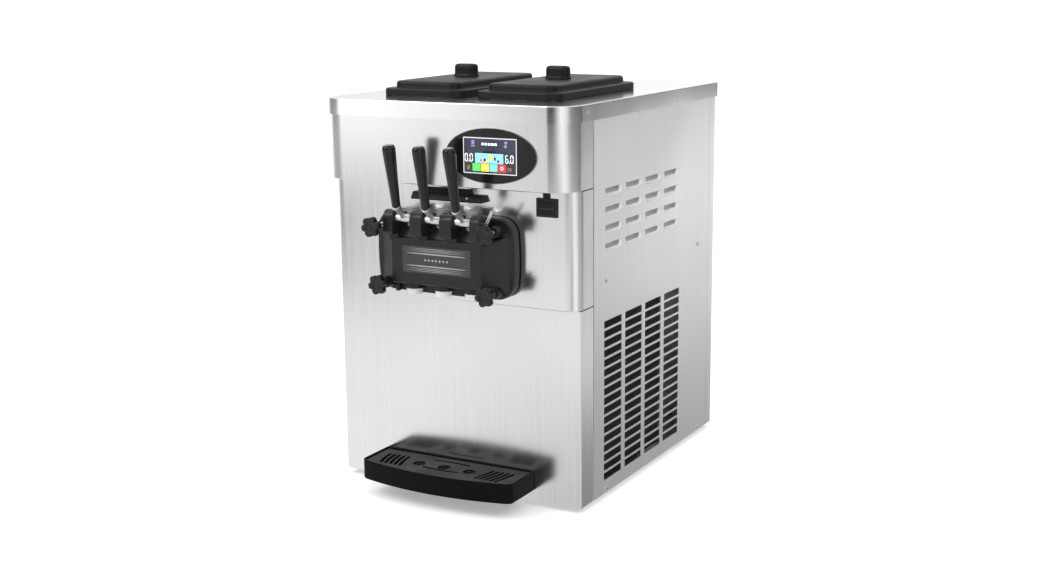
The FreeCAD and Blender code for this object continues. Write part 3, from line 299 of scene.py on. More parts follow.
# --- materials ------------------------------------------------------------------------
class Finish:
    """A material's node tree, with short calls to add nodes and join them up."""

    def __init__(self, name, colour, roughness, metallic=0.0, **more):
        self.material = bpy.data.materials.new(name)
        self.material.use_nodes = True
        self.tree = self.material.node_tree
        self.shader = self.tree.nodes["Principled BSDF"]
        self.shader.inputs["Base Color"].default_value = (*colour, 1)
        self.shader.inputs["Roughness"].default_value = roughness
        self.shader.inputs["Metallic"].default_value = metallic
        self.colour = colour
        self.roughness = roughness
        self.place = self.tree.nodes.new("ShaderNodeTexCoord").outputs["Object"]
        for socket, value in more.items():
            self.shader.inputs[socket.replace("_", " ")].default_value = value

    def node(self, kind, links=(), **settings):
        return add_node(self.tree, kind, links, **settings)

    def noise(self, scale, detail=4.0, roughness=0.55, stretch=(1, 1, 1)):
        """Noise of so many features to the metre, stretched along the axes."""
        mapping = self.node("Mapping", [("Vector", self.place), ("Scale", stretch)])
        texture = self.node("TexNoise", [("Vector", mapping.outputs[0]), ("Scale", scale),
                                         ("Detail", detail), ("Roughness", roughness)])
        return texture.outputs["Fac"]

    def ramp(self, value, stops):
        """Turns a value into grey levels or colours."""
        node = self.node("ValToRGB", [("Fac", value)])
        elements = node.color_ramp.elements
        while len(elements) < len(stops):
            elements.new(0.5)
        for element, (position, colour) in zip(elements, stops):
            element.position = position
            if not isinstance(colour, (tuple, list)):
                colour = (colour,) * 3
            element.color = (*colour, 1)
        return node.outputs["Color"]

    def scaled(self, value, low, high):
        node = self.node("MapRange", [("Value", value), ("From Min", 0.3), ("From Max", 0.7),
                                      ("To Min", low), ("To Max", high)])
        return node.outputs["Result"]

    def drive(self, socket, output):
        self.tree.links.new(output, self.shader.inputs[socket])

    def vary_roughness(self, value, amount):
        low = max(self.roughness - amount, 0.02)
        self.drive("Roughness", self.scaled(value, low, self.roughness + amount))

    def vary_colour(self, value, dark, light):
        low = [c * dark for c in self.colour]
        high = [c * light for c in self.colour]
        self.drive("Base Color", self.ramp(value, [(0.3, low), (0.7, high)]))

    def bump(self, value, strength, distance_mm):
        node = self.node("Bump", [("Height", value), ("Strength", strength),
                                  ("Distance", distance_mm * MM)])
        self.drive("Normal", node.outputs[0])

    def average(self, a, b):
        both = self.node("Math", [(0, a), (1, b)], operation="ADD")
        return self.node("Math", [(0, both.outputs[0]), (1, 0.5)], operation="MULTIPLY").outputs[0]


def brushed(name, colour, roughness, grain_axis, spread=0.05, depth=0.04):
    """Stainless sheet with fine brush lines that run along one axis."""
    stretch = [1.0, 1.0, 1.0]
    stretch["xyz".index(grain_axis)] = 0.012
    finish = Finish(name, colour, roughness, 1.0)
    lines = finish.noise(2600, 3.0, stretch=stretch)
    streaks = finish.noise(240, stretch=stretch)
    clouds = finish.noise(4.0, 2.0)
    grain = finish.average(lines, streaks)
    finish.vary_roughness(finish.average(grain, clouds), spread)
    finish.vary_colour(grain, 0.93, 1.03)
    finish.bump(grain, depth, 0.02)
    return finish.material


def moulded(name, colour, roughness, grain=1500, depth=0.25, **more):
    """Moulded plastic: a very fine grain, and slow changes of gloss from handling."""
    finish = Finish(name, colour, roughness, **more)
    fine = finish.noise(grain, 3.0)
    slow = finish.noise(18)
    finish.vary_roughness(slow, 0.06)
    finish.vary_colour(slow, 0.85, 1.2)
    finish.bump(fine, depth, 0.05)
    return finish.material


def cast(name, colour, roughness, metallic, grain=220, depth=0.5):
    finish = Finish(name, colour, roughness, metallic)
    pits = finish.noise(grain, 8.0, 0.7)
    stain = finish.noise(14, 5.0)
    finish.vary_roughness(stain, 0.12)
    finish.vary_colour(stain, 0.7, 1.15)
    finish.bump(pits, depth, 0.3)
    return finish.material


def galvanised():
    """Zinc spangle: patches of slightly different grey and gloss."""
    finish = Finish("galvanised_sheet", (0.55, 0.57, 0.58), 0.45, 0.9)
    cells = finish.node("TexVoronoi", [("Vector", finish.place), ("Scale", 90.0)])
    spangle = finish.node("SeparateColor", [("Color", cells.outputs["Color"])]).outputs[0]
    finish.vary_roughness(spangle, 0.12)
    finish.vary_colour(spangle, 0.75, 1.1)
    return finish.material


def foam():
    finish = Finish("insulation_foam", (0.75, 0.68, 0.45), 0.9)
    cells = finish.noise(420, 6.0, 0.7)
    finish.vary_colour(finish.noise(25), 0.8, 1.1)
    finish.bump(cells, 0.8, 0.8)
    return finish.material


def lit(name, colour, strength=1.0):
    """A lit patch of the display, with the faint grid of its dots."""
    finish = Finish(name, colour, 0.25)
    dots = finish.node("TexVoronoi", [("Vector", finish.place), ("Scale", 3500.0)], distance="CHEBYCHEV")
    glow = finish.ramp(dots.outputs["Distance"], [(0.0, colour), (1.0, [c * 0.75 for c in colour])])
    finish.drive("Emission Color", glow)
    finish.shader.inputs["Emission Strength"].default_value = strength
    return finish.material


MAT = {
    "front": brushed("stainless_front", (0.90, 0.90, 0.905), 0.18, "z", 0.04, 0.05),
    "side": brushed("stainless_side", (0.92, 0.92, 0.925), 0.38, "z", 0.05, 0.10),
    "cap": brushed("stainless_cap", (0.90, 0.90, 0.905), 0.15, "x", 0.04, 0.06),
    "bright": brushed("polished_steel", (0.80, 0.80, 0.81), 0.22, "x", 0.05, 0.05),
    "satin": brushed("satin_steel", (0.80, 0.80, 0.81), 0.42, "z", 0.06, 0.12),
    "tube": brushed("drawn_steel", (0.70, 0.70, 0.71), 0.30, "y", 0.08, 0.1),
    "screw": brushed("screw_steel", (0.72, 0.72, 0.73), 0.26, "z", 0.06, 0.1),
    "zinc": galvanised(),
    "door": moulded("satin_black_acetal", (0.011, 0.011, 0.0115), 0.38, 1100, 0.18, Specular_IOR_Level=0.45),
    "matte": moulded("matte_black_plastic", (0.008, 0.008, 0.0085), 0.46, 900, 0.35, Specular_IOR_Level=0.3),
    "grip": moulded("gloss_black_grip", (0.007, 0.007, 0.0075), 0.2, 1400, 0.05, Specular_IOR_Level=0.4,
                    Coat_Weight=0.1, Coat_Roughness=0.08),
    "tray": moulded("tray_black_plastic", (0.0035, 0.0035, 0.0037), 0.42, 800, 0.3, Specular_IOR_Level=0.08),
    "grille": moulded("grille_black_plastic", (0.011, 0.011, 0.0115), 0.5, 800, 0.3, Specular_IOR_Level=0.14),
    "gloss": moulded("bezel_black_gloss", (0.006, 0.006, 0.0065), 0.16, 500, 0.03, Specular_IOR_Level=0.35,
                     Coat_Weight=0.1, Coat_Roughness=0.05),
    "rubber": moulded("rubber_black", (0.018, 0.018, 0.018), 0.75, 600, 0.5),
    "seal": moulded("seal_white_silicone", (0.62, 0.62, 0.60), 0.55, 500, 0.3),
    "valve": moulded("valve_light_grey", (0.36, 0.365, 0.37), 0.38, 700, 0.1),
    "cup": moulded("cup_clear_grey", (0.68, 0.685, 0.69), 0.3, 700, 0.08),
    "foam": foam(),
    "cast": cast("cast_aluminium", (0.52, 0.53, 0.55), 0.50, 0.85),
    "motor": cast("motor_paint", (0.055, 0.075, 0.11), 0.45, 0.0, 300, 0.15),
    "compressor": cast("compressor_paint", (0.02, 0.02, 0.021), 0.32, 0.0, 260, 0.12),
    "copper": cast("copper_tube", (0.72, 0.36, 0.22), 0.32, 1.0, 160, 0.1),
    "fin": brushed("fin_aluminium", (0.30, 0.30, 0.31), 0.45, "z", 0.08, 0.1),
    "belt": moulded("belt_rubber", (0.016, 0.016, 0.016), 0.7, 500, 0.5),
}


# --- casing ---------------------------------------------------------------------------
def front_piece(name, radius, lip, corner_steps=18):
    """A front sheet: bent round both corners, with its lower edge folded in under it."""
    half, front, back, low, high = span(name)[1:]
    margin = 5
    stations = [((half, back), (1, 0))]
    for side, turns in ((1, sweep(0, 90, corner_steps)), (-1, sweep(0, 90, corner_steps)[::-1])):
        for t in turns:
            normal = (side * math.cos(t), -math.sin(t))
            place = (side * (half - radius) + radius * normal[0], front + radius + radius * normal[1])
            stations.append((place, normal))
    stations.append(((-half, back), (-1, 0)))
    bend = 2.0
    fold = [(bend - bend * math.cos(t), low + bend - bend * math.sin(t))
            for t in sweep(0, 90, 6)]
    profile = [(0, high)] + fold + [(6, low), (6, low + SHEET), (bend, low + SHEET),
                                    (SHEET, low + bend), (SHEET, high)]
    rings = [[(x - nx * inset, y - ny * inset, z) for inset, z in profile]
             for (x, y), (nx, ny) in stations]
    shape = Shape().loft(rings)
    under = [(x - nx * margin, y - ny * margin) for (x, y), (nx, ny) in stations[1:-1]]
    rear = front + lip
    outline = [(half - margin, rear)] + [p for p in under if p[1] < rear] + [(margin - half, rear)]
    shape.plate(TOP, [outline], low + 0.1, low + SHEET, 0.1)
    return shape.piece(name + "_sheet", MAT["front"], "cabinet", [name], "stainless", 30)


def top_cap():
    """The cover sheet with its turned-down band and a well for each hopper."""
    half, front, back, low, high = span("top_cap")[1:]
    radius, rear_radius = 49, 1.0
    bend = 2.0

    def outline(inset):
        r = radius - inset
        return rounded_box(-half + inset, half - inset, front + inset, back - inset,
                           (r, r, rear_radius, rear_radius), 20)
    levels = [(SHEET, low + 1), (SHEET, low), (0, low)]
    levels += [(bend - bend * math.cos(t), high - bend + bend * math.sin(t)) for t in sweep(0, 90, 6)]
    shape = Shape().loft([[(x, y, z) for x, y in outline(inset)] for inset, z in levels], False, False)
    wells = []
    for side in SIDES:
        x0, x1, y0, y1 = span("hopper_" + side)[:4]
        wells.append(rounded_box(x0 + 3, x1 - 3, y0 + 3, y1 - 3, 23, 8))
    shape.plate(TOP, [outline(bend)] + wells, high - SHEET, high, 0.02)
    return shape.piece("top_cap_sheet", MAT["cap"], "cabinet", ["top_cap"], "stainless", 30)


LOUVRE_WIDTH = 75.0
LOUVRE_HEIGHT = 15.0
LOUVRE_DEPTH = 7.0
LOUVRE_CORNER = 12.0
LOUVRE_STARTS = [47 + 91 * k for k in range(4)]
LOUVRE_TOPS = [598 - 35 * k for k in range(4)]
SLOT_STARTS = [44 + 94.2 * k for k in range(4)]
SLOT_LOWS = [27 + 18.9 * k for k in range(17)]
REAR_SLOT_STARTS = [-141 + 102 * k for k in range(3)]
REAR_SLOT_LOWS = [120 + 20 * k for k in range(12)]
SLOT_WIDTH = 77.5
SLOT_HEIGHT = 14.1


def louvre_loop(y0, top):
    """The opening of one louvre: straight along the top, with big round lower corners."""
    return rounded_box(y0, y0 + LOUVRE_WIDTH, top - LOUVRE_HEIGHT, top,
                       (LOUVRE_CORNER, LOUVRE_CORNER, 0.6, 0.6), 8)


def scoop_points(y0, top, rows=10, columns=26):
    """The pressed-in floor of a louvre: deepest along its open top edge, and closed by
    rounded walls at the bottom and both ends."""
    grid = []
    for r in range(rows + 1):
        up = r / rows
        z = top - LOUVRE_HEIGHT * (1 - up)
        reach = LOUVRE_WIDTH / 2
        rise = LOUVRE_HEIGHT * up
        if rise < LOUVRE_CORNER:
            reach -= LOUVRE_CORNER - math.sqrt(max(LOUVRE_CORNER ** 2 - (LOUVRE_CORNER - rise) ** 2, 0))
        floor = math.sin(min(rise / 4.0, 1.0) * math.pi / 2) * (0.45 + 0.55 * up)
        line = []
        for c in range(columns + 1):
            across = math.sin((-1 + 2 * c / columns) * math.pi / 2)
            wall = math.sin(min((1 - abs(across)) * reach / 5.0, 1.0) * math.pi / 2)
            line.append((y0 + LOUVRE_WIDTH / 2 + across * reach, z, -LOUVRE_DEPTH * wall * floor))
        grid.append(line)
    return grid


def side_panel(side):
    """The sheet with its pressed louvres and its four columns of slots."""
    name = "side_panel_" + side
    x0, x1, y0, y1, z0, z1 = span(name)
    face = RIGHT if side == "right" else LEFT
    hand = SIDES[side]
    outer = max(abs(x0), abs(x1))

    def seen(points):
        return [(hand * u, v) for u, v in points]
    loops = [seen(rounded_box(y0, y1, z0, z1, 0.5, 2))]
    for start in SLOT_STARTS:
        loops += [seen(rounded_box(start, start + SLOT_WIDTH, low, low + SLOT_HEIGHT, 1.2, 3))
                  for low in SLOT_LOWS]
    shape = Shape()
    for start in LOUVRE_STARTS:
        for top in LOUVRE_TOPS:
            loops.append(seen(louvre_loop(start, top)))
            grid = scoop_points(start, top)
            points = [along(face, hand * u, v, outer - 0.15 + w) for line in grid for u, v, w in line]
            shape.add(points, grid_faces(len(grid), len(grid[0])))
    shape.plate(face, loops, outer - SHEET, outer, 0.25)
    inner = hand * (outer - SHEET)
    shape.block(min(inner, inner - hand * 11), max(inner, inner - hand * 11), y1 - SHEET, y1,
                z0, z1, 0.1, 0.1, 1)
    return shape.piece(name + "_sheet", MAT["side"], "cabinet", [name], "stainless", 40)


def rear_cover():
    """The rear sheet with its slots, and its short returns down both sides."""
    x0, x1, y0, y1, z0, z1 = span("rear_cover")
    radius = 4.0
    gland_x, _, gland_z = centre_of("cable_gland")
    loops = [rounded_box(x0 + radius, x1 - radius, z0, z1, 0, 1), circle(-gland_x, gland_z, 8.2)]
    for start in REAR_SLOT_STARTS:
        loops += [rounded_box(-start - 78, -start, low, low + 8, 3.9, 6) for low in REAR_SLOT_LOWS]
    shape = Shape().plate(REAR, loops, y1 - SHEET, y1, 0.1)
    for side in (-1, 1):
        path = [((side * x1, y0), (side, 0))]
        for t in sweep(0, 90, 8):
            normal = (side * math.cos(t), math.sin(t))
            path.append(((side * (x1 - radius) + radius * normal[0],
                          y1 - radius + radius * normal[1]), normal))
        rings = [[(px, py, z0), (px - nx * SHEET, py - ny * SHEET, z0),
                  (px - nx * SHEET, py - ny * SHEET, z1), (px, py, z1)]
                 for (px, py), (nx, ny) in path]
        shape.loft(rings)
    return shape.piece("rear_cover_sheet", MAT["side"], "cabinet", ["rear_cover"], "stainless", 40)


def screw_head(shape, place, axis, radius=4.2, rise=1.8):
    """A button head with a hexagon socket."""
    axis = Vector(axis)
    side = axis.orthogonal().normalized()
    across = axis.cross(side)

    def ring(distance, size, corners=False):
        points = []
        for t in round_turn(24):
            r = size
            if corners:
                r = size / math.cos((t + math.pi / 6) % (math.pi / 3) - math.pi / 6)
            points.append(Vector(place) + axis * distance + side * (r * math.cos(t))
                          + across * (r * math.sin(t)))
        return points
    socket = radius * 0.36
    rings = [ring(0.0, radius)]
    for t in sweep(0, 90, 6):
        rings.append(ring(0.3 + (rise - 0.3) * math.sin(t), radius - 0.45 * radius * (1 - math.cos(t))))
    rings += [ring(rise, socket + 0.2, True), ring(rise - 0.15, socket, True),
              ring(rise - 1.3, socket, True)]
    shape.loft(rings)


def panel_screws():
    shape = Shape()
    panel = span("side_panel_right")[1]
    cap = span("top_cap")[1]
    for half, y, z in ((panel, 51, 422), (panel, 503, 420), (panel, 53, 8), (panel, 512, 8),
                       (cap, -30, 746), (cap, 380, 746)):
        for side in (-1, 1):
            screw_head(shape, (side * half, y, z), (side, 0, 0))
    rear = span("rear_cover")[3]
    for x in (-240, 240):
        for z in (20, 380, 700):
            screw_head(shape, (x, rear, z), (0, 1, 0))
    return shape.piece("panel_screw_heads", MAT["screw"], "cabinet", ["panel_screws"], "screw_steel", 30)


def feet():
    shape = Shape()
    x0, x1, y0, y1, z0 = span("rubber_feet")[:5]
    radius = 23
    profile = [(0, 12), (0.2, 17.4), (0.6, 18.4), (1.6, 19.1), (8, 21.4), (9, 21.6), (9.2, 22.6),
               (11.6, 22.9), (12, 22.7)]
    for x in (x0 + radius, x1 - radius):
        for y in (y0 + radius, y1 - radius):
            shape.turned((x, y, z0), (0, 0, 1), profile, 48)
    return shape.piece("foot_pads", MAT["rubber"], "cabinet", ["rubber_feet"], "rubber_black", 40)


def gland():
    """Hexagon body, lock nut and a ribbed dome with a clear bore."""
    x, _, z = centre_of("cable_gland")
    rear = span("rear_cover")[3]
    bore = 5.0
    shape = Shape()
    hexagon = filleted(circle(x, z, 13, 6), 1.0, 3)
    seen = [(-u, v) for u, v in hexagon]
    shape.plate(REAR, [seen, circle(-x, z, bore)], rear, rear + 8, 0.6)
    rings = []
    for distance, outside in ((8, 11.4), (8.4, 11.9), (9.4, 12), (20, 10.2), (24, 9.2), (26.4, 7.4),
                              (27, 6.2), (27, bore), (8, bore)):
        ribbed = 9 < distance < 21
        ring = []
        for k, t in enumerate(round_turn(72)):
            r = outside - (0.5 if ribbed and k % 4 < 2 else 0)
            ring.append((x + r * math.cos(t), rear + distance, z + r * math.sin(t)))
        rings.append(ring)
    shape.loft(rings, False, False)
    shape.turned((x, rear - SHEET - 6, z), (0, 1, 0), [(0, bore), (0, 11.6), (0.5, 12), (5, 12),
                                                       (5.5, 11.6), (5.5, bore)], 48)
    return shape.piece("mains_gland", MAT["matte"], "cabinet", ["cable_gland"], "black_matte", 35)


# --- lids -----------------------------------------------------------------------------
def hopper_lid(side):
    """Two tiers with rolled edges, a slightly crowned top and a moulded knob."""
    name = "hopper_lid_" + side
    middle_x, middle_y, _ = centre_of(name)
    rest = span("hopper_" + side)[5]
    deck = span("top_cap")[5] + 0.4
    tier = rest + 12.0
    top = 790.0

    def rings(box, stations, steps=10):
        """Each station is (inset, height, corner radius)."""
        x0, x1, y0, y1 = box
        return [[(x, y, z) for x, y in rounded_box(x0 + d, x1 - d, y0 + d, y1 - d, r, steps)]
                for d, z, r in stations]
    outside = [(2.0, rest, 24), (1.9, deck + 0.3, 24), (1.4, deck, 24.5), (0.5, deck, 25.5),
               (0, deck + 0.5, 26), (0, rest + 8.5, 26), (0.5, rest + 10.4, 25.5),
               (1.8, rest + 11.5, 24.4), (4.0, tier, 22.4), (15.0, tier + 0.6, 20),
               (17.2, tier + 1.2, 18.6), (18.0, tier + 2.6, 18), (18.2, top - 6.5, 17.8),
               (19.0, top - 3.6, 17), (20.8, top - 1.9, 15.4), (23.6, top - 1.0, 13),
               (34, top - 0.55, 10), (52, top - 0.2, 6), (66, top, 4)]
    shape = Shape().loft(rings(span(name)[:4], outside))
    skirt = [(9.0 + d, z, 17 - d) for d, z in ((0, rest + 1), (0, rest - 8), (1, rest - 9),
                                               (3, rest - 9), (3, rest + 1))]
    shape.loft(rings(span("hopper_" + side)[:4], skirt), False, False)
    knob = [(0.0, -1.0, 13), (-0.6, 1.2, 13.6), (0.0, 3.0, 13.0), (1.2, 5.0, 12), (1.3, 14, 12),
            (1.6, 19.5, 11.6), (2.6, 22.4, 10.6), (4.6, 24.2, 9), (8.0, 25.0, 6), (12.0, 25.0, 2.5)]
    foot = (middle_x - 26, middle_x + 26, middle_y - 15, middle_y + 15)
    shape.loft(rings(foot, [(d, top + rise, r) for d, rise, r in knob], 8))
    return shape.piece(name + "_shell", MAT["matte"], "lid_" + side, [name], "black_matte", 40)


# --- dispensing door ------------------------------------------------------------------
FLANGE_HALF_X = 146.0
FLANGE_HALF_Z = 76.0
FLANGE_MIDDLE = 474.0
FLANGE_BOW = 5.0
FLANGE_FRONT = -91.0
BLOCK_FRONT = -121.0
PIVOT = (-125.0, 544.0)
LUG_R = 15.5
LUG_FOOT = 512.0
LUGS = ((-105.0, -84.3), (-45.7, -19.3), (19.3, 45.7), (84.3, 105.0))
BARREL_HALF = 19.0
SHANK = (Vector((0, -129.0, 546.0)), Vector((0, -153.5, 571.0)))
SEAL_HEIGHTS = (418, 452)
STUD_X = 120.0
STUD_Z = {"top": 528.0, "bottom": 414.0}


def flange_ring(inset, y):
    """The flange's edge: a rounded rectangle whose four sides bow out a little."""
    points = []
    for x, z in rounded_box(-FLANGE_HALF_X, FLANGE_HALF_X, -FLANGE_HALF_Z, FLANGE_HALF_Z, 30, 12):
        bow_x = math.copysign(FLANGE_BOW, x) * (1 - (z / FLANGE_HALF_Z) ** 2) if abs(x) > 100 else 0
        bow_z = math.copysign(FLANGE_BOW / 2, z) * (1 - (x / FLANGE_HALF_X) ** 2) if abs(z) > 40 else 0
        points.append((x + bow_x, z + bow_z))
    edge = []
    for a, b in zip(points, points[1:] + points[:1]):
        pieces = 12 if math.dist(a, b) > 30 else 1
        for k in range(pieces):
            f = k / pieces
            u, v = a[0] + (b[0] - a[0]) * f, a[1] + (b[1] - a[1]) * f
            if pieces > 1:
                hump = 4 * f * (1 - f)
                if abs(b[0] - a[0]) > abs(b[1] - a[1]):
                    v += math.copysign(FLANGE_BOW / 2 * 0.63, v) * hump
                else:
                    u += math.copysign(FLANGE_BOW * 0.37, u) * hump
            edge.append((u, v))
    ring = []
    for k, (u, v) in enumerate(edge):
        way = (Vector(edge[(k + 1) % len(edge)]) - Vector(edge[k - 1])).normalized()
        ring.append((u - way.y * inset, y, FLANGE_MIDDLE + v + way.x * inset))
    return ring


def lug_outline(steps=28):
    """Side view of one drum-shaped hinge ear with its web, as (y, z)."""
    y, z = PIVOT
    toe = 8.0
    points = [(-90.0, 500.0), (BLOCK_FRONT + 0.5, 500.0), (BLOCK_FRONT + 0.5, LUG_FOOT)]
    points += arc(y - LUG_R + toe, LUG_FOOT + toe, toe, 270, 180, 8)
    points += arc(y, z, LUG_R, 180, 74, steps)
    return points + [(-90.0, 546.0)]


def door():
    """The black moulding: bowed flange, tapered block, hinge ears, stud bosses and spouts."""
    back = span("dispense_door")[3]
    bend = 3.4
    rings = [(0.6, back), (0, back - 0.6), (0, FLANGE_FRONT + bend)]
    rings += [(bend * (1 - math.cos(t)), FLANGE_FRONT + bend * (1 - math.sin(t)))
              for t in sweep(0, 90, 6)[1:]]
    shape = Shape().loft([flange_ring(inset, y) for inset, y in rings])
    depth = BLOCK_FRONT - FLANGE_FRONT
    rings = [(142 - 43.5 * f, 409 + 9 * f, 517 - 11 * f, 9 - 4 * f, FLANGE_FRONT + 1 + depth * f)
             for f in (0, 0.955)]
    rings += [(99.6, 418.3, 505.6, 4.6, BLOCK_FRONT + 0.6), (98.3, 418.9, 505.0, 4.0, BLOCK_FRONT + 0.15),
              (96.6, 419.8, 504.0, 3.4, BLOCK_FRONT)]
    shape.loft([[(x, y, z) for x, z in rounded_box(-h, h, a, b, r, 6)] for h, a, b, r, y in rings])
    bridge = [(-90, 502), (BLOCK_FRONT + 1, 502), (-107, 526), (-103, 530), (-90, 530)]
    shape.plate(RIGHT, [filleted(bridge, 1.5, 3)], -99.5, 99.5, 0.8)
    for start, end in LUGS:
        shape.plate(RIGHT, [lug_outline()], start, end, 1.6)
    for side in (-1, 1):
        for z in STUD_Z.values():
            shape.turned((side * STUD_X, -88, z), (0, -1, 0), soft_rod(28, 11, 1.2), 40)
    for name in LEVERS:
        x, y, _ = centre_of("draw_plunger_" + name)
        shape.turned((x, y, 425), (0, 0, -1), soft_rod(25, 14.5, 1.0), 40)
    shape.block(-108, -99, -99, -90, 396, 416, 3, 0.8)
    return shape.piece("door_moulding", MAT["door"], "cabinet", ["dispense_door"], "black_delrin", 32)


def door_label():
    """A plain decorated plate in the door's face: dotted bands that fade at their ends and
    a thin bright line inward of each."""
    front = BLOCK_FRONT
    outline = rounded_box(-75, 75, 440.5, 491.5, 2.0, 5)
    plate = Shape().plate(FRONT, [outline], -front - 0.2, -front + 0.35, 0.12)
    plate.piece("label_plate", MAT["label"], "cabinet", slot="black_matte")
    dots = Shape()
    lines = Shape()
    for row, z in enumerate((487.5, 484.8, 482.1, 450.0, 447.3, 444.6)):
        for k in range(-27, 28):
            x = 2.5 * k + (1.25 if row % 2 else 0)
            size = 0.95 * (1 - (abs(x) / 72) ** 2) ** 0.7 if abs(x) < 70 else 0
            if size > 0.15:
                dots.loft([[(x + a, -0.3 + front - 0.1, z + b) for a, b in circle(0, 0, size, 8)],
                           [(x + a, front - 0.55, z + b) for a, b in circle(0, 0, size * 0.7, 8)]])
    for z in (477.8, 454.2):
        half = 66
        top = []
        low = []
        for k in range(25):
            x = -half + 2 * half * k / 24
            width = 1.1 * (1 - (x / half) ** 2) ** 0.5 + 0.08
            top.append((x, z + width))
            low.append((x, z - width))
        lines.plate(FRONT, [low + top[::-1]], -front + 0.3, -front + 0.6, 0.05)
    for k in range(7):
        x = -24 + 8 * k
        lines.plate(FRONT, [[(x - 2.6, 466), (x, 463.4), (x + 2.6, 466), (x, 468.6)]],
                    -front + 0.3, -front + 0.6, 0.05)
    dots.piece("label_dots", MAT["foil"], "cabinet", slot="polished_steel")
    lines.piece("label_lines", MAT["foil"], "cabinet", slot="polished_steel")


KNOB_R = 20.0
KNOB_LOBE = 6.8
KNOB_REACH = 13.2
KNOB_VALLEY = 14.2
KNOB_STEPS = 120


def knob_radius(t):
    """How far the knob's edge lies from its axis in the direction t."""
    off = (t - math.radians(12) + math.pi / 6) % (math.pi / 3) - math.pi / 6
    across = KNOB_REACH * math.sin(abs(off))
    if across >= KNOB_LOBE:
        return KNOB_VALLEY
    lobe = KNOB_REACH * math.cos(off) + math.sqrt(KNOB_LOBE ** 2 - across ** 2)
    return min((KNOB_VALLEY ** 14 + lobe ** 14) ** (1 / 14), KNOB_R)


def star_knob(level, side):
    """Six round lobes about a dished face, with a plain neck behind."""
    name = "%s_%s" % (level, side)
    face = span("star_knob_" + name)[2]
    x = SIDES[side] * STUD_X
    z = STUD_Z[level]
    around = round_turn(KNOB_STEPS)
    edge = [(knob_radius(t), t) for t in around]
    rings = [[(r - inset, t, depth) for r, t in edge]
             for inset, depth in ((2.2, 12), (0.8, 11.5), (0.1, 10.2), (0, 8), (0, 3.6), (0.35, 1.9),
                                  (1.2, 0.6), (2.6, 0.05))]
    rings += [[(r, t, depth) for t in around]
              for r, depth in ((11.4, 0.25), (9.6, 0.9), (7.4, 1.5), (6.6, 1.7), (6.2, 1.2), (5.4, 1.1))]
    shape = Shape().loft([[(x + r * math.cos(t), face + depth, z + r * math.sin(t)) for r, t, depth in ring]
                          for ring in rings])
    neck = [(0, 10.2), (1.4, 8.9), (3, 8.5), (17.0, 8.5), (18.2, 8.1), (18.8, 7.4)]
    shape.turned((x, face + 11.2, z), (0, 1, 0), neck, 40)
    return shape.piece("star_knob_%s_grip" % name, MAT["door"], "knob_" + name, ["star_knob_" + name],
                       "black_delrin", 42)


GRIP_STATIONS = [
    (-152.3, 569.4, 6.9), (-152.4, 569.7, 7.7), (-152.6, 570.5, 8.2), (-154.6, 581.0, 8.4),
    (-157.5, 596.0, 8.8), (-163.0, 626.0, 10.0), (-165.8, 641.0, 10.8), (-168.5, 656.0, 11.6),
    (-170.5, 667.0, 12.1), (-171.9, 675.0, 12.4), (-172.6, 679.4, 12.3), (-173.1, 682.4, 11.7),
    (-173.4, 684.6, 10.7), (-173.55, 686.0, 9.3), (-173.65, 686.9, 7.0), (-173.7, 687.3, 4.0),
    (-173.7, 687.4, 1.2)]


def lever(name):
    """Bright barrel and inner arm, satin shank, and a black tapered grip."""
    y, z = PIVOT
    body = "lever_" + name
    x, plunger_y, _ = centre_of("draw_plunger_" + name)
    arm = Shape()
    end = [(0, 3.6), (0, 6.6), (0.3, 7.4), (1.0, 7.9), (1.8, 8), (5.4, 8), (5.7, 7.5), (6.3, 7.5), (6.6, 8)]
    barrel = end + [(2 * BARREL_HALF - distance, radius) for distance, radius in reversed(end)]
    arm.turned((x - BARREL_HALF, y, z), (1, 0, 0), barrel, 48)
    reach = plunger_y - y
    tip = [(9, 3.2), (7, 3.4), (5.4, 3.9), (4, 4), (2, 3.5), (0.8, 2.6), (0, 1.0)]
    arm.turned((x, y + 4, z), (0, 1, 0), [(0, 4.6)] + [(reach - d, r) for d, r in tip], 32)
    arm.piece("lever_arm_%s_steel" % name, MAT["bright"], body, ["lever_arm_" + name], "polished_steel", 35)
    way = SHANK[1] - SHANK[0]
    length = way.length
    shank = Shape()
    shank.turned((x, SHANK[0].y, SHANK[0].z), way,
                 [(0, 4.4), (length * 0.3, 5.2), (length * 0.7, 7.0), (length - 3, 8.3), (length - 0.8, 8.6),
                  (length - 0.1, 8.2), (length + 0.3, 7.2)], 40)
    shank.turned((x, -149, 566.4), (0, -0.3, 1), [(0, 6.2), (6, 5.0), (24, 4.4)], 24)
    shank.piece("lever_shank_%s_steel" % name, MAT["satin"], body, slot="polished_steel", sharp=35)
    across = Vector((1, 0, 0))
    up = Vector((0, -0.16, 0.987)).normalized().cross(across)
    grip = Shape().loft([hoop(Vector((x, gy, gz)), across, up, r, 48) for gy, gz, r in GRIP_STATIONS])
    grip.piece("lever_grip_%s_moulding" % name, MAT["grip"], body, ["lever_grip_" + name], "grip_black", 50)


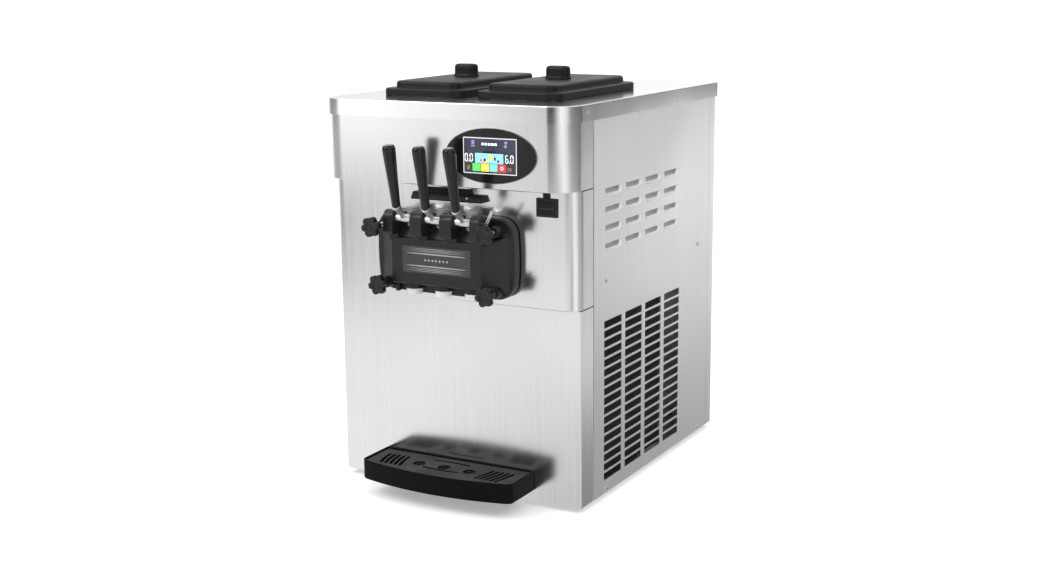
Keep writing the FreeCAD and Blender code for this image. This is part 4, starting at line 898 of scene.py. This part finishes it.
def plunger(name):
    """A round spool with two seals and a window where the lever's tip sits."""
    node = "draw_plunger_" + name
    y0, y1, z0, z1 = span(node)[2:]
    x, y, _ = centre_of(node)
    r = (y1 - y0) / 2
    window = PIVOT[1] - z0
    shape = Shape()
    profile = [(0, r - 1.2), (0.4, r - 0.4), (1.2, r)]
    for seal in SEAL_HEIGHTS:
        profile += [(seal - z0 + rise, r - inset) for rise, inset in
                    ((-0.2, 0), (0, 0.3), (0, 1.6), (3, 1.6), (3, 0.3), (3.2, 0))]
    profile += [(window - 11, r), (window - 11, r), (window - 10.8, r - 0.2)]
    shape.turned((x, y, z0), (0, 0, 1), profile, 40)
    height = z1 - z0 - window - 6
    head = [(0, r - 0.2), (0.2, r), (height - 1.6, r), (height - 0.5, r - 0.4), (height, r - 1.3)]
    shape.turned((x, y, z0 + window + 6), (0, 0, 1), head, 40)
    limit = math.degrees(math.acos(4.3 / r))
    for side in (-1, 1):
        cheek = [(x + side * r * math.cos(a), y + r * math.sin(a)) for a in sweep(-limit, limit, 16)]
        shape.loft([[(a, b, z) for a, b in cheek] for z in (z0 + window - 11.2, z0 + window + 6.2)])
    shape.piece(node + "_spool", MAT["valve"], "plunger_" + name, [node], "valve_plastic", 35)
    seals = Shape()
    ring = [(0, r - 1.7), (0, r - 0.9), (0.5, r - 0.1), (1.4, r + 0.05), (2.3, r - 0.1), (2.8, r - 0.9),
            (2.8, r - 1.7)]
    for seal in SEAL_HEIGHTS:
        seals.turned((x, y, seal + 0.1), (0, 0, 1), ring, 40)
    seals.piece(node + "_seals", MAT["seal"], "plunger_" + name, slot="seal_rubber")


def nozzle_caps():
    """Push-on cups, each with a rolled rim and a six-pointed outlet."""
    y = centre_of("nozzle_caps")[1]
    z0 = span("nozzle_caps")[4]
    around = round_turn(72)
    star = [4.5 + 4.0 * (0.5 - 0.5 * math.cos(6 * t)) ** 1.4 for t in around]
    shape = Shape()
    for name in LEVERS:
        x = centre_of("draw_plunger_" + name)[0]
        rings = []
        for rise, r in ((12, 14.6), (12, 15.4), (11.6, 15.9), (10.8, 16.0), (2.4, 16.0), (1.2, 15.6),
                        (0.4, 14.8), (0, 13.4), (0, None), (3.5, None), (3.5, 14.6), (12, 14.6)):
            rings.append([(x + (r or point) * math.cos(t), y + (r or point) * math.sin(t), z0 + rise)
                          for t, point in zip(around, star)])
        shape.loft(rings, False, False)
    return shape.piece("nozzle_cups", MAT["cup"], "cabinet", ["nozzle_caps"], "valve_plastic", 40)


def pivot_rod():
    """The hinge pin, bent up at its right end."""
    x0, _, y0, y1 = span("pivot_rod")[:4]
    y, z = PIVOT
    r = (y1 - y0) / 2
    end = Vector((125.0, y, 569.5))
    corner = Vector((111.5, y, z))
    rise = (end - corner).normalized()
    right = Vector((1, 0, 0))
    bend = 6.0
    angle = rise.angle(right)
    centre = corner + Vector((-bend * math.tan(angle / 2), 0, bend))
    path = [(Vector((x0, y, z)), right), (Vector((x0 + 0.8, y, z)), right)]
    for t in sweep(0, math.degrees(angle), 12):
        path.append((centre + Vector((math.sin(t), 0, -math.cos(t))) * bend,
                     Vector((math.cos(t), 0, math.sin(t)))))
    path += [(end - rise * 0.8, rise), (end, rise)]
    sizes = [r - 0.8] + [r] * (len(path) - 2) + [r - 0.8]
    side = Vector((0, 1, 0))
    rings = [hoop(place, side, way.cross(side), size, 32) for (place, way), size in zip(path, sizes)]
    Shape().loft(rings).piece("pivot_pin", MAT["bright"], "pivot_rod", ["pivot_rod"], "polished_steel", 40)


def studs():
    y0, y1 = span("door_studs")[2:4]
    profile = [(0, 2.8), (0.9, 3.7)]
    for k in range(24):
        profile += [(1.5 + 1.2 * k, 3.98), (2.1 + 1.2 * k, 3.45)]
    profile += [(32, 4.0), (y1 - y0, 4.0)]
    shape = Shape()
    for side in (-1, 1):
        for z in STUD_Z.values():
            shape.turned((side * STUD_X, y0, z), (0, 1, 0), profile, 32)
    return shape.piece("door_stud_threads", MAT["screw"], "cabinet", ["door_studs"], "stud_steel", 50)


def splash_guard():
    """A hood over the door in two sloping tiers, with two small screws."""
    x1, y0, y1, z0, z1 = span("splash_guard")[1:]
    shape = Shape()
    lower = [(y1, z0), (y0 + 1.5, z0), (y0, z0 + 2.5), (-76, 588), (y1, 588)]
    upper = [(y1, 586.5), (-73, 586.5), (-69, z1), (y1, z1)]
    for half, outline in ((x1, lower), (49, upper)):
        shape.plate(RIGHT, [filleted(outline, 0.9, 3)], -half, half, 0.9)
    shape.piece("splash_guard_moulding", MAT["matte"], "cabinet", ["splash_guard"], "black_matte", 35)
    heads = Shape()
    for x in (-45, 45):
        screw_head(heads, (x, -80.2, 582.2), (0, -0.81, 0.59), 2.6, 1.2)
    heads.piece("splash_guard_screws", MAT["screw"], "cabinet", slot="screw_steel")


def badge():
    """A small plain plate hung from a hook, with a generic embossed border and bar."""
    x0, x1, y0, y1, z0, z1 = span("badge")
    shape = Shape()
    shape.plate(FRONT, [rounded_box(x0, x1, z0, z0 + 35, 1.5, 5)], -y1, -y0, 0.4)
    shape.plate(FRONT, [rounded_box(200, 214, z0 + 33, z1, 2.0, 5)], -y1, -y0 - 0.4, 0.4)
    shape.piece("badge_plate", MAT["matte"], "cabinet", ["badge"], "black_matte", 35)
    marks = Shape()
    outer = rounded_box(x0 + 2.5, x1 - 2.5, z0 + 2.5, z0 + 32.5, 1.0, 4)
    inner = rounded_box(x0 + 3.1, x1 - 3.1, z0 + 3.1, z0 + 31.9, 0.8, 4)
    marks.plate(FRONT, [outer, inner], -y0 - 0.05, -y0 + 0.12, 0.03)
    middle = (x0 + x1) / 2
    for k in range(5):
        u = middle - 12 + 6 * k
        marks.plate(FRONT, [circle(u, z0 + 15.5, 1.6, 20)], -y0 - 0.05, -y0 + 0.15, 0.03)
    marks.piece("badge_marks", MAT["label"], "cabinet", slot="black_matte")


# --- drip tray ------------------------------------------------------------------------
TRAY_CORNER_RISE = 23.0


def tray_loop(inset, radius=9.0):
    """The tray's outline: straight back and sides, and a front that swells forward."""
    half, apex, back = span("drip_tray")[1:4]
    half -= inset
    corner = apex + TRAY_CORNER_RISE + inset
    apex += inset
    back -= inset
    sag = corner - apex
    bow = (half ** 2 + sag ** 2) / (2 * sag)
    reach = math.degrees(math.asin(half / bow))
    swell = arc(0, apex + bow, bow, 270 - reach, 270 + reach, 24)
    r = max(radius - inset, 1.0)
    trim = r / math.tan((math.pi - (math.pi / 2 - math.radians(reach))) / 2) + r * 0.2
    points = [(x, y) for x, y in swell if abs(x) < half - trim]

    def bezier(a, b, c, steps=7):
        return [tuple((1 - f) ** 2 * p + 2 * f * (1 - f) * q + f * f * r for p, q, r in zip(a, b, c))
                for f in (k / steps for k in range(steps + 1))]
    front_right = bezier(points[-1], (half, corner + 0.3), (half, corner + trim * 1.1))
    front_left = bezier((-half, corner + trim * 1.1), (-half, corner + 0.3), points[0])
    rear = rounded_box(-half, half, back - 8, back, (0, 0, 1.0, 1.0), 3)[2:]
    return points[1:-1] + front_right + rear + front_left


def drip_tray():
    z0, z1 = span("drip_tray")[4:]
    ledge = span("drip_grille")[4] - 0.3
    stations = ((4.0, z0), (1.6, z0 + 0.4), (0.5, z0 + 1.5), (0.0, z0 + 3.4), (0.0, z1 - 1.4),
                (0.15, z1 - 0.7), (0.5, z1 - 0.2), (1.0, z1), (2.0, z1), (2.5, z1 - 0.2), (2.9, z1 - 0.8),
                (3.0, ledge), (6.0, ledge), (6.0, z0 + 14), (8.0, z0 + 10), (12.0, z0 + 9))
    rings = [[(x, y, z) for x, y in tray_loop(inset)] for inset, z in stations]
    Shape().loft(rings).piece("drip_tray_basin", MAT["tray"], "tray", ["drip_tray"], "black_matte", 40)


GRILLE_Y = -108
GRILLE_ROUNDS = (-57, 0, 57)
GRILLE_ROUND_R = 12.5


def slot_loop(x, side, width=3.2, count=10):
    """One of the leaning, slightly bent slots at the ends of the grille."""
    middle = [(x + side * (-7 + 11 * f + 7 * f * (1 - f)), -134 + 50 * f)
              for f in (k / count for k in range(count + 1))]
    right = [(u + width, v) for u, v in middle]
    left = [(u - width, v) for u, v in middle[::-1]]
    bottom = arc(*middle[0], width, 180, 360, 6)[1:-1]
    top = arc(*middle[-1], width, 0, 180, 6)[1:-1]
    return right + top + left + bottom


def bowed_slot(y, bow, half=38.0, width=3.0, count=16):
    """A long slot that bows away from the middle hole."""
    middle = [(half * f, y + bow * (1 - f ** 2)) for f in (2 * k / count - 1 for k in range(count + 1))]
    upper = [(u, v + width) for u, v in middle[::-1]]
    lower = [(u, v - width) for u, v in middle]
    return (lower + arc(half, y, width, 270, 450, 6)[1:-1] + upper
            + arc(-half, y, width, 90, 270, 6)[1:-1])


def drip_grille():
    """A plate with round holes over crossed bars, leaning slots at its ends and two bowed ones."""
    z0, z1 = span("drip_grille")[4:]
    loops = [tray_loop(5.6)] + [circle(x, GRILLE_Y, GRILLE_ROUND_R, 36) for x in GRILLE_ROUNDS]
    for side in (-1, 1):
        loops += [slot_loop(side * (92 + 11 * k), side) for k in range(5)]
    loops += [bowed_slot(-78, 3.0), bowed_slot(-122, -3.0)]
    shape = Shape().plate(TOP, loops, z0, z1, 0.45)
    low, high = z0 + 0.3, z1 - 1.8
    half = 0.7
    for x in GRILLE_ROUNDS:
        for d in (-5, 5):
            reach = math.sqrt((GRILLE_ROUND_R + 0.3) ** 2 - d ** 2)
            for cx, cy, half_x, half_y in ((x, GRILLE_Y + d, reach, half), (x + d, GRILLE_Y, half, reach)):
                shape.block(cx - half_x, cx + half_x, cy - half_y, cy + half_y, low, high, 0.1, 0.3, 1)
    return shape.piece("drip_grille_plate", MAT["grille"], "grille", ["drip_grille"], "black_matte", 40)


# --- control panel --------------------------------------------------------------------
def bezel():
    """An oval gloss surround with a bright narrow rim and a window for the display."""
    x0, x1, y0, _, z0, z1 = span("control_bezel")
    sx0, sx1, _, _, sz0, sz1 = span("touchscreen")
    head_face = 97.1

    def oval(inset):
        return ellipse((x0 + x1) / 2, (z0 + z1) / 2, (x1 - x0) / 2 - inset, (z1 - z0) / 2 - inset)
    window = rounded_box(sx0 - 0.4, sx1 + 0.4, sz0 - 0.4, sz1 + 0.4, 1.5, 5)
    shape = Shape().plate(FRONT, [oval(1.2), window], head_face, -y0, 0.35)
    shape.piece("bezel_face", MAT["gloss"], "cabinet", ["control_bezel"], "bezel_gloss", 35)
    rim = Shape().plate(FRONT, [oval(0), oval(1.25)], head_face, -y0 - 0.2, 0.4)
    rim.piece("bezel_rim", MAT["rim"], "cabinet", slot="bezel_gloss")


SEGMENTS = {"0": "abcdef", "1": "bc", "2": "abged", "6": "afgedc", "8": "abcdefg"}


def figures(shape, text, x, z, height, front, rise):
    """Seven-segment figures; the text may also hold points."""
    width = height * 0.44
    bar = height * 0.10
    gap = height * 0.02
    for letter in text:
        if letter == ".":
            point = circle(x + bar * 0.6, z + bar * 0.7, bar * 0.62, 12)
            shape.plate(FRONT, [point], front, front + rise, 0.01)
            x += bar * 1.6
            continue
        low, middle, high = z + bar / 2, z + height / 2, z + height - bar / 2
        left, right = x + bar / 2, x + width - bar / 2
        ends = {"a": (left, high, right, high), "d": (left, low, right, low),
                "g": (left, middle, right, middle), "b": (right, middle, right, high),
                "c": (right, low, right, middle), "e": (left, low, left, middle),
                "f": (left, middle, left, high)}
        for name in SEGMENTS[letter]:
            a, b = Vector(ends[name][:2]), Vector(ends[name][2:])
            way = (b - a).normalized()
            side = Vector((-way.y, way.x)) * bar / 2
            a, b = a + way * gap, b - way * gap
            loop = [a, a + way * bar / 2 - side, b - way * bar / 2 - side, b, b - way * bar / 2 + side,
                    a + way * bar / 2 + side]
            shape.plate(FRONT, [[tuple(p) for p in loop]], front, front + rise, 0.01)
        x += width + height * 0.10


def display():
    """The screen: a dark ground with a rounded frame line, figures, a picture of a
    sundae-like heap of plain shapes, and a row of coloured keys."""
    x0, x1, y0, y1, z0, z1 = span("touchscreen")
    front = -y0
    ground = Shape().plate(FRONT, [rounded_box(x0, x1, z0, z1, 1.2, 5)], -y1, front, 0.2)
    ground.piece("screen_glass", MAT["screen"], "cabinet", ["touchscreen"], "screen", 35)

    width, height = x1 - x0, z1 - z0
    layer = 0.02

    def spot(across, up):
        """A place on the screen, from fractions of its width and height."""
        return x0 + width * across, z0 + height * up

    def patch(name, colour, loops_list, level):
        shape = Shape()
        for loops in loops_list:
            shape.plate(FRONT, loops, front - 0.01, front + layer * level, 0.004)
        shape.piece("screen_" + name, MAT["lit_" + colour], "cabinet", slot="screen")

    def number(name, colour, *texts):
        shape = Shape()
        for text, across, up, size in texts:
            figures(shape, text, *spot(across, up), height * size, front - 0.01, layer * 4)
        shape.piece("screen_" + name, MAT["lit_" + colour], "cabinet", slot="screen")

    def box_loop(across0, across1, up0, up1, r=0.8):
        left, low = spot(across0, up0)
        right, high = spot(across1, up1)
        return rounded_box(left, right, low, high, r, 4)

    def ovals(*shapes):
        """Each is (across, up, half width, half height, number of points)."""
        return [[ellipse(*spot(across, up), a, b, steps)] for across, up, a, b, steps in shapes]

    outer = box_loop(0.004, 0.996, 0.006, 0.994, 0.9)
    inner = box_loop(0.018, 0.982, 0.028, 0.972, 0.6)
    patch("frame_line", "grey", [[outer, inner]], 3)
    patch("sky", "slate", [[box_loop(0.03, 0.97, 0.63, 0.95, 0.6)]], 1)
    number("figures", "white", ("0.0", 0.03, 0.325, 0.225), ("6.0", 0.785, 0.325, 0.225))
    number("small_figures", "amber", ("12", 0.06, 0.11, 0.225 * 0.48))
    number("hours", "rose", ("008", 0.815, 0.11, 0.225 * 0.42))
    icons = [[box_loop(0.150, 0.222, 0.74, 0.78, 0.5)], [box_loop(0.160, 0.215, 0.80, 0.92, 0.9)],
             [box_loop(0.765, 0.815, 0.74, 0.82, 1.2)], [box_loop(0.775, 0.825, 0.84, 0.92, 1.2)]]
    patch("mode_icons", "violet", icons, 3)
    title = [[box_loop(0.35 + 0.06 * k, 0.393 + 0.06 * k, 0.79, 0.855, 0.5)] for k in range(5)]
    patch("title_bars", "white", title, 3)
    patch("picture_ground", "cyan", [[box_loop(0.226, 0.749, 0.30, 0.57, 0.4)]], 2)
    patch("picture_light", "pale",
          ovals((0.34, 0.50, 7.0, 3.0, 28), (0.62, 0.51, 8.0, 2.8, 28), (0.69, 0.40, 3.4, 3.8, 24)), 3)
    patch("picture_yellow", "yellow", ovals((0.505, 0.45, 4.0, 6.4, 24), (0.44, 0.36, 3.4, 2.0, 24)), 4)
    patch("picture_red", "red", ovals((0.335, 0.375, 2.4, 2.4, 20), (0.37, 0.335, 1.5, 1.5, 20)), 5)
    patch("picture_dark", "dark",
          ovals((0.405, 0.385, 2.6, 3.0, 24), (0.595, 0.43, 2.2, 3.4, 24), (0.655, 0.365, 2.6, 2.4, 24)), 5)
    for colour, left, right in (("green", 0.176, 0.326), ("yellow", 0.338, 0.486), ("blue", 0.498, 0.638),
                                ("red", 0.650, 0.792)):
        patch("key_lit_" + colour, colour, [[box_loop(left, right, 0.075, 0.285, 0.5)]], 2)
    middle = spot(0.721, 0.18)
    patch("key_ring", "white", [[circle(*middle, 3.3, 24), circle(*middle, 2.1, 24)]], 4)
    dot, hexagon = ovals((0.251, 0.18, 1.6, 1.6, 20), (0.568, 0.18, 1.8, 1.8, 6))
    patch("key_marks", "pale", [dot, [box_loop(0.385, 0.440, 0.165, 0.195, 0.2)], hexagon], 4)


# --- condenser and the inside ---------------------------------------------------------
def condenser():
    """Thin upright fins on rows of tubes, with end plates and return bends."""
    x0, x1, y0, y1, z0, z1 = span("condenser")
    bend = 11.0
    plate_y0, plate_y1 = y0 + bend, y1 - bend
    pitch, thickness = 2.6, 0.25
    outline = ((x0 + 3, z0 + 2), (x1 - 3, z0 + 2), (x1 - 3, z1 - 2), (x0 + 3, z1 - 2))
    fins = Shape()
    for k in range(int((plate_y1 - plate_y0 - 6) / pitch)):
        y = plate_y0 + 4 + pitch * k
        fins.add([(x, y + d, z) for x, z in outline for d in (0, thickness)],
                 [(0, 2, 4, 6), (1, 7, 5, 3), (0, 1, 3, 2), (2, 3, 5, 4), (4, 5, 7, 6), (6, 7, 1, 0)])
    fins.piece("condenser_fins", MAT["fin"], "cabinet", ["condenser"], "fin_alloy", 30)
    plates = Shape()
    for y in (plate_y0, plate_y1 - 2):
        plates.block(x0, x1, y, y + 2, z0, z1, 0.3, 0.3, 2)
    plates.piece("condenser_end_plates", MAT["zinc"], "cabinet", slot="galvanised", sharp=35)
    tubes = Shape()
    for x in (x0 + 15, x1 - 15):
        for k in range(11):
            z = z0 + 22 + 28 * k
            for dz in (-7, 7):
                tubes.turned((x, plate_y0 - 0.5, z + dz), (0, 1, 0),
                             [(0, 4), (plate_y1 - plate_y0 + 1, 4)], 14)
            for y, way in ((plate_y1, 1), (plate_y0, -1)):
                outward = [Vector((0, way * math.sin(t), -math.cos(t))) for t in sweep(0, 180, 12)]
                tubes.loft([hoop(Vector((x, y, z)) + out * 7, out, Vector((1, 0, 0)), 3.9, 14)
                            for out in outward])
    tubes.piece("condenser_tubes", MAT["copper"], "cabinet", slot="copper", sharp=50)


def finish_cad_nodes():
    """Materials for the nodes that keep their CAD shape."""
    finishes = {
        "zinc": ["base_pan", "corner_posts", "mid_deck", "control_box", "fan_shroud", "tray_bracket"],
        "front": ["lower_front_panel", "hopper_left", "hopper_right"],
        "tube": ["freezing_cylinders", "beater_left", "beater_right"],
        "foam": ["insulation_block"],
        "seal": ["cylinder_seals"],
        "valve": ["feed_tubes"],
        "cast": ["gearboxes", "gearbox_pulley_left", "gearbox_pulley_right", "motor_pulley"],
        "motor": ["drive_motor"],
        "belt": ["drive_belts"],
        "compressor": ["compressor", "fan_motor"],
        "matte": ["condenser_fan"],
        "copper": ["refrigerant_pipes"],
    }
    for finish, names in finishes.items():
        for name in names:
            node = frame["nodes"][name]
            node.data.materials.clear()
            node.data.materials.append(MAT[finish])


# --- stage ----------------------------------------------------------------------------
def camera():
    """Standing in front of the machine's right, a little above its top."""
    yaw, pitch, roll = (math.radians(angle) for angle in (28.9, 11.7, -0.5))
    ahead = Vector((-math.sin(yaw) * math.cos(pitch), math.cos(yaw) * math.cos(pitch), -math.sin(pitch)))
    right = ahead.cross(Vector((0, 0, 1))).normalized()
    up = right.cross(ahead)
    across = right * math.cos(roll) + up * math.sin(roll)
    above = up * math.cos(roll) - right * math.sin(roll)
    data = bpy.data.cameras.new("camera")
    data.sensor_width = 36
    data.lens = 51.14
    data.clip_end = 200
    eye = bpy.data.objects.new("camera", data)
    turn = Matrix((across, above, -ahead)).transposed().to_4x4()
    eye.matrix_world = Matrix.Translation((1.4748, -2.66545, 0.9985)) @ turn
    show(eye)
    bpy.context.scene.camera = eye


def floor():
    """A pale floor that fades into the backdrop, built as one sheet of quads."""
    steps = range(-14, 15, 2)
    mesh = bpy.data.meshes.new("floor")
    mesh.from_pydata([(x, y, cad_box[0][2]) for y in steps for x in steps], [],
                     grid_faces(len(steps), len(steps)))
    sheet = bpy.data.objects.new("floor", mesh)
    show(sheet)
    finish = Finish("studio_floor", (0.965, 0.965, 0.965), 0.85)
    finish.vary_colour(finish.noise(3.0, 2.0), 0.99, 1.0)
    finish.shader.inputs["Emission Color"].default_value = (1, 1, 1, 1)
    finish.shader.inputs["Emission Strength"].default_value = 0.32
    mesh.materials.append(finish.material)
    sheet.visible_glossy = False


def world():
    """A white room for the camera. Reflections see a studio: light walls with a few soft
    grey flags, which give the bent steel corners their bands."""
    studio = bpy.data.worlds.new("studio")
    bpy.context.scene.world = studio
    studio.use_nodes = True
    tree = studio.node_tree
    tree.nodes.clear()

    def node(kind, links=(), **settings):
        return add_node(tree, kind, links, **settings)

    def math_node(operation, *values):
        return node("Math", enumerate(values), operation=operation).outputs[0]

    way = node("TexCoord").outputs["Generated"]
    parts = node("SeparateXYZ", [(0, way)])
    azimuth = math_node("ARCTAN2", parts.outputs["Y"], parts.outputs["X"])
    turn = math_node("MULTIPLY_ADD", azimuth, 1 / (2 * math.pi), 0.5)
    degrees = math_node("MULTIPLY", math_node("ARCSINE", parts.outputs["Z"]), 180 / math.pi)
    tilt = node("MapRange", [("Value", turn), ("From Min", (180 - 127) / 360),
                             ("From Max", (180 - 119) / 360), ("To Max", 0.6)]).outputs[0]
    level = math_node("ADD", degrees, tilt)

    def walls(stops):
        """Brightness round the room: (azimuth in degrees from +X, grey level)."""
        ramp = node("ValToRGB", [("Fac", turn)])
        elements = ramp.color_ramp.elements
        while len(elements) < len(stops):
            elements.new(0.5)
        for element, (toward, grey) in zip(elements, stops):
            element.position = (toward + 180) / 360
            element.color = (grey, grey, grey, 1)
        return ramp.outputs["Color"]

    def mix(factor, a, b):
        return node("Mix", [(0, factor), (6, a), (7, b)], data_type="RGBA").outputs[2]

    def between(value, low, high):
        return node("MapRange", [("Value", value), ("From Min", low), ("From Max", high)]).outputs[0]

    room = walls(WALLS[0][1])
    for (low, high), stops in WALLS[1:]:
        room = mix(between(level, low, high), room, walls(stops))
    for low, high, grey in ((12, 40, 0.95), (-22, -40, 0.75)):
        plain = node("RGB").outputs[0]
        plain.default_value = (grey, grey, grey, 1)
        room = mix(between(level, low, high), room, plain)
    rays = node("LightPath").outputs["Is Camera Ray"]
    lit_room = node("Background", [("Color", room), ("Strength", 1.0)])
    white = node("Background", [("Color", (1, 1, 1, 1)), ("Strength", 1.0)])
    shown = node("MixShader", [(0, rays), (1, lit_room.outputs[0]), (2, white.outputs[0])])
    node("OutputWorld", [("Surface", shown.outputs[0])])


# Grey levels round the room, from the floor up. Each entry holds the elevations between
# which it takes over from the one below, and its (azimuth, grey) stops.
WALLS = [
    (None, [(-180, 1.0), (-127, 0.98), (-123, 0.86), (-119, 0.52), (-115, 0.46), (-100, 0.60), (-60, 0.66),
            (-30, 0.60), (0, 0.36), (60, 0.30), (72, 0.16), (125, 0.16), (180, 0.5)]),
    ((-17.5, -15.0), [(-180, 0.98), (-127, 1.03), (-119, 1.0), (-83, 0.86), (-71, 0.65), (-58, 0.48),
                      (-50, 0.50), (-38, 1.02), (-14, 1.02), (0, 0.66), (20, 0.52), (60, 0.42), (65, 0.9),
                      (71, 0.62), (77, 0.42), (90, 0.5), (180, 0.6)]),
    ((-13.0, -9.2), [(-180, 0.4), (-127, 0.12), (-124, 0.28), (-121, 0.60), (-119, 0.80), (-83, 0.86),
                     (-71, 0.65), (-58, 0.48), (-50, 0.50), (-38, 1.02), (-14, 1.02), (0, 0.66), (20, 0.52),
                     (62, 0.24), (67, 0.30), (69, 4.6), (73, 2.8), (81, 1.1), (125, 1.1), (180, 0.6)]),
    ((-7.3, -6.9), [(-180, 0.5), (-148, 0.7), (-134, 1.30), (-127, 1.40), (-122, 1.30), (-120, 1.08),
                    (-117, 0.56), (-113, 0.16), (-106, 0.05), (-95, 0.05), (-86, 0.14), (-77, 0.44),
                    (-64, 0.90), (-47, 1.22), (-23, 0.84), (-12, 0.46), (13, 0.34), (62, 0.20),
                    (67, 0.22), (69, 5.4), (73, 3.2), (81, 1.2), (125, 1.0), (180, 0.5)]),
    ((-5.1, -4.5), [(-180, 0.2), (-148, 0.25), (-133, 1.0), (-127, 1.25), (-121, 1.10), (-117, 0.36),
                    (-108, 0.03), (-90, 0.0), (-80, 0.10), (-66, 0.62), (-54, 1.15), (-28, 0.72),
                    (-14, 0.24), (0, 0.12), (60, 0.12), (71, 0.20), (79, 1.4), (125, 0.9), (180, 0.2)]),
]


def area(name, place, aim, width, height, power, glossy=True):
    data = bpy.data.lights.new(name, "AREA")
    data.shape = "RECTANGLE"
    data.size = width
    data.size_y = height
    data.energy = power
    lamp = bpy.data.objects.new(name, data)
    lamp.location = place
    lamp.rotation_euler = (Vector(aim) - Vector(place)).to_track_quat("-Z", "Y").to_euler()
    lamp.visible_glossy = glossy
    show(lamp)


def lights():
    area("key", (-1.6, -2.2, 2.6), (0, 0, 0.4), 1.4, 1.4, 26)
    area("fill", (2.2, -1.2, 2.2), (0, 0, 0.4), 1.2, 1.2, 12, False)
    area("top", (0.2, 0.3, 2.8), (0, 0, 0.6), 2.0, 2.0, 16, False)


def make_materials():
    MAT["rim"] = moulded("bezel_rim_dark_chrome", (0.30, 0.30, 0.31), 0.22, 500, 0.03, Metallic=0.9)
    MAT["label"] = moulded("label_satin_black", (0.045, 0.045, 0.046), 0.34, 900, 0.06)
    MAT["foil"] = brushed("label_silver_foil", (0.62, 0.62, 0.64), 0.30, "x", 0.05, 0.05)
    MAT["screen"] = screen_glass()
    for name, colour, strength in (
            ("grey", (0.62, 0.63, 0.66), 0.75), ("slate", (0.030, 0.033, 0.052), 0.9),
            ("white", (0.92, 0.95, 1.0), 0.95), ("pale", (0.35, 0.45, 0.75), 0.8),
            ("violet", (0.22, 0.20, 0.45), 0.8), ("cyan", (0.20, 0.62, 0.85), 0.9),
            ("yellow", (0.95, 0.72, 0.05), 0.9), ("red", (0.80, 0.03, 0.03), 0.9),
            ("green", (0.10, 0.62, 0.08), 0.9), ("blue", (0.16, 0.55, 0.88), 0.9),
            ("dark", (0.05, 0.02, 0.05), 0.4), ("amber", (0.50, 0.42, 0.12), 0.8),
            ("rose", (0.42, 0.16, 0.16), 0.8)):
        MAT["lit_" + name] = lit("screen_" + name, colour, strength)


def screen_glass():
    """Dark glass whose ground shades from slate at the top to near black below."""
    finish = Finish("screen_ground", (0.010, 0.012, 0.022), 0.14, Coat_Weight=0.6, Coat_Roughness=0.05)
    low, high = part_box("touchscreen")
    height = finish.node("SeparateXYZ", [(0, finish.place)]).outputs["Z"]
    part = finish.node("MapRange", [("Value", height), ("From Min", low.z), ("From Max", high.z)])
    glow = finish.ramp(part.outputs[0], [(0.0, (0.012, 0.012, 0.014)), (0.6, (0.014, 0.015, 0.020)),
                                         (1.0, (0.032, 0.035, 0.055))])
    finish.drive("Emission Color", glow)
    finish.shader.inputs["Emission Strength"].default_value = 1.0
    finish.bump(finish.noise(1800), 0.02, 0.01)
    return finish.material


bpy.context.scene.view_settings.view_transform = "Standard"
camera()
world()
lights()
floor()
make_materials()

front_piece("head_panel", 46, 48)
front_piece("middle_front_panel", 25, 24)
top_cap()
for side_name in SIDES:
    side_panel(side_name)
    hopper_lid(side_name)
    for level_name in LEVELS:
        star_knob(level_name, side_name)
rear_cover()
panel_screws()
feet()
gland()
door()
door_label()
studs()
nozzle_caps()
pivot_rod()
for lever_name in LEVERS:
    lever(lever_name)
    plunger(lever_name)
splash_guard()
badge()
drip_tray()
drip_grille()
bezel()
display()
condenser()
finish_cad_nodes()
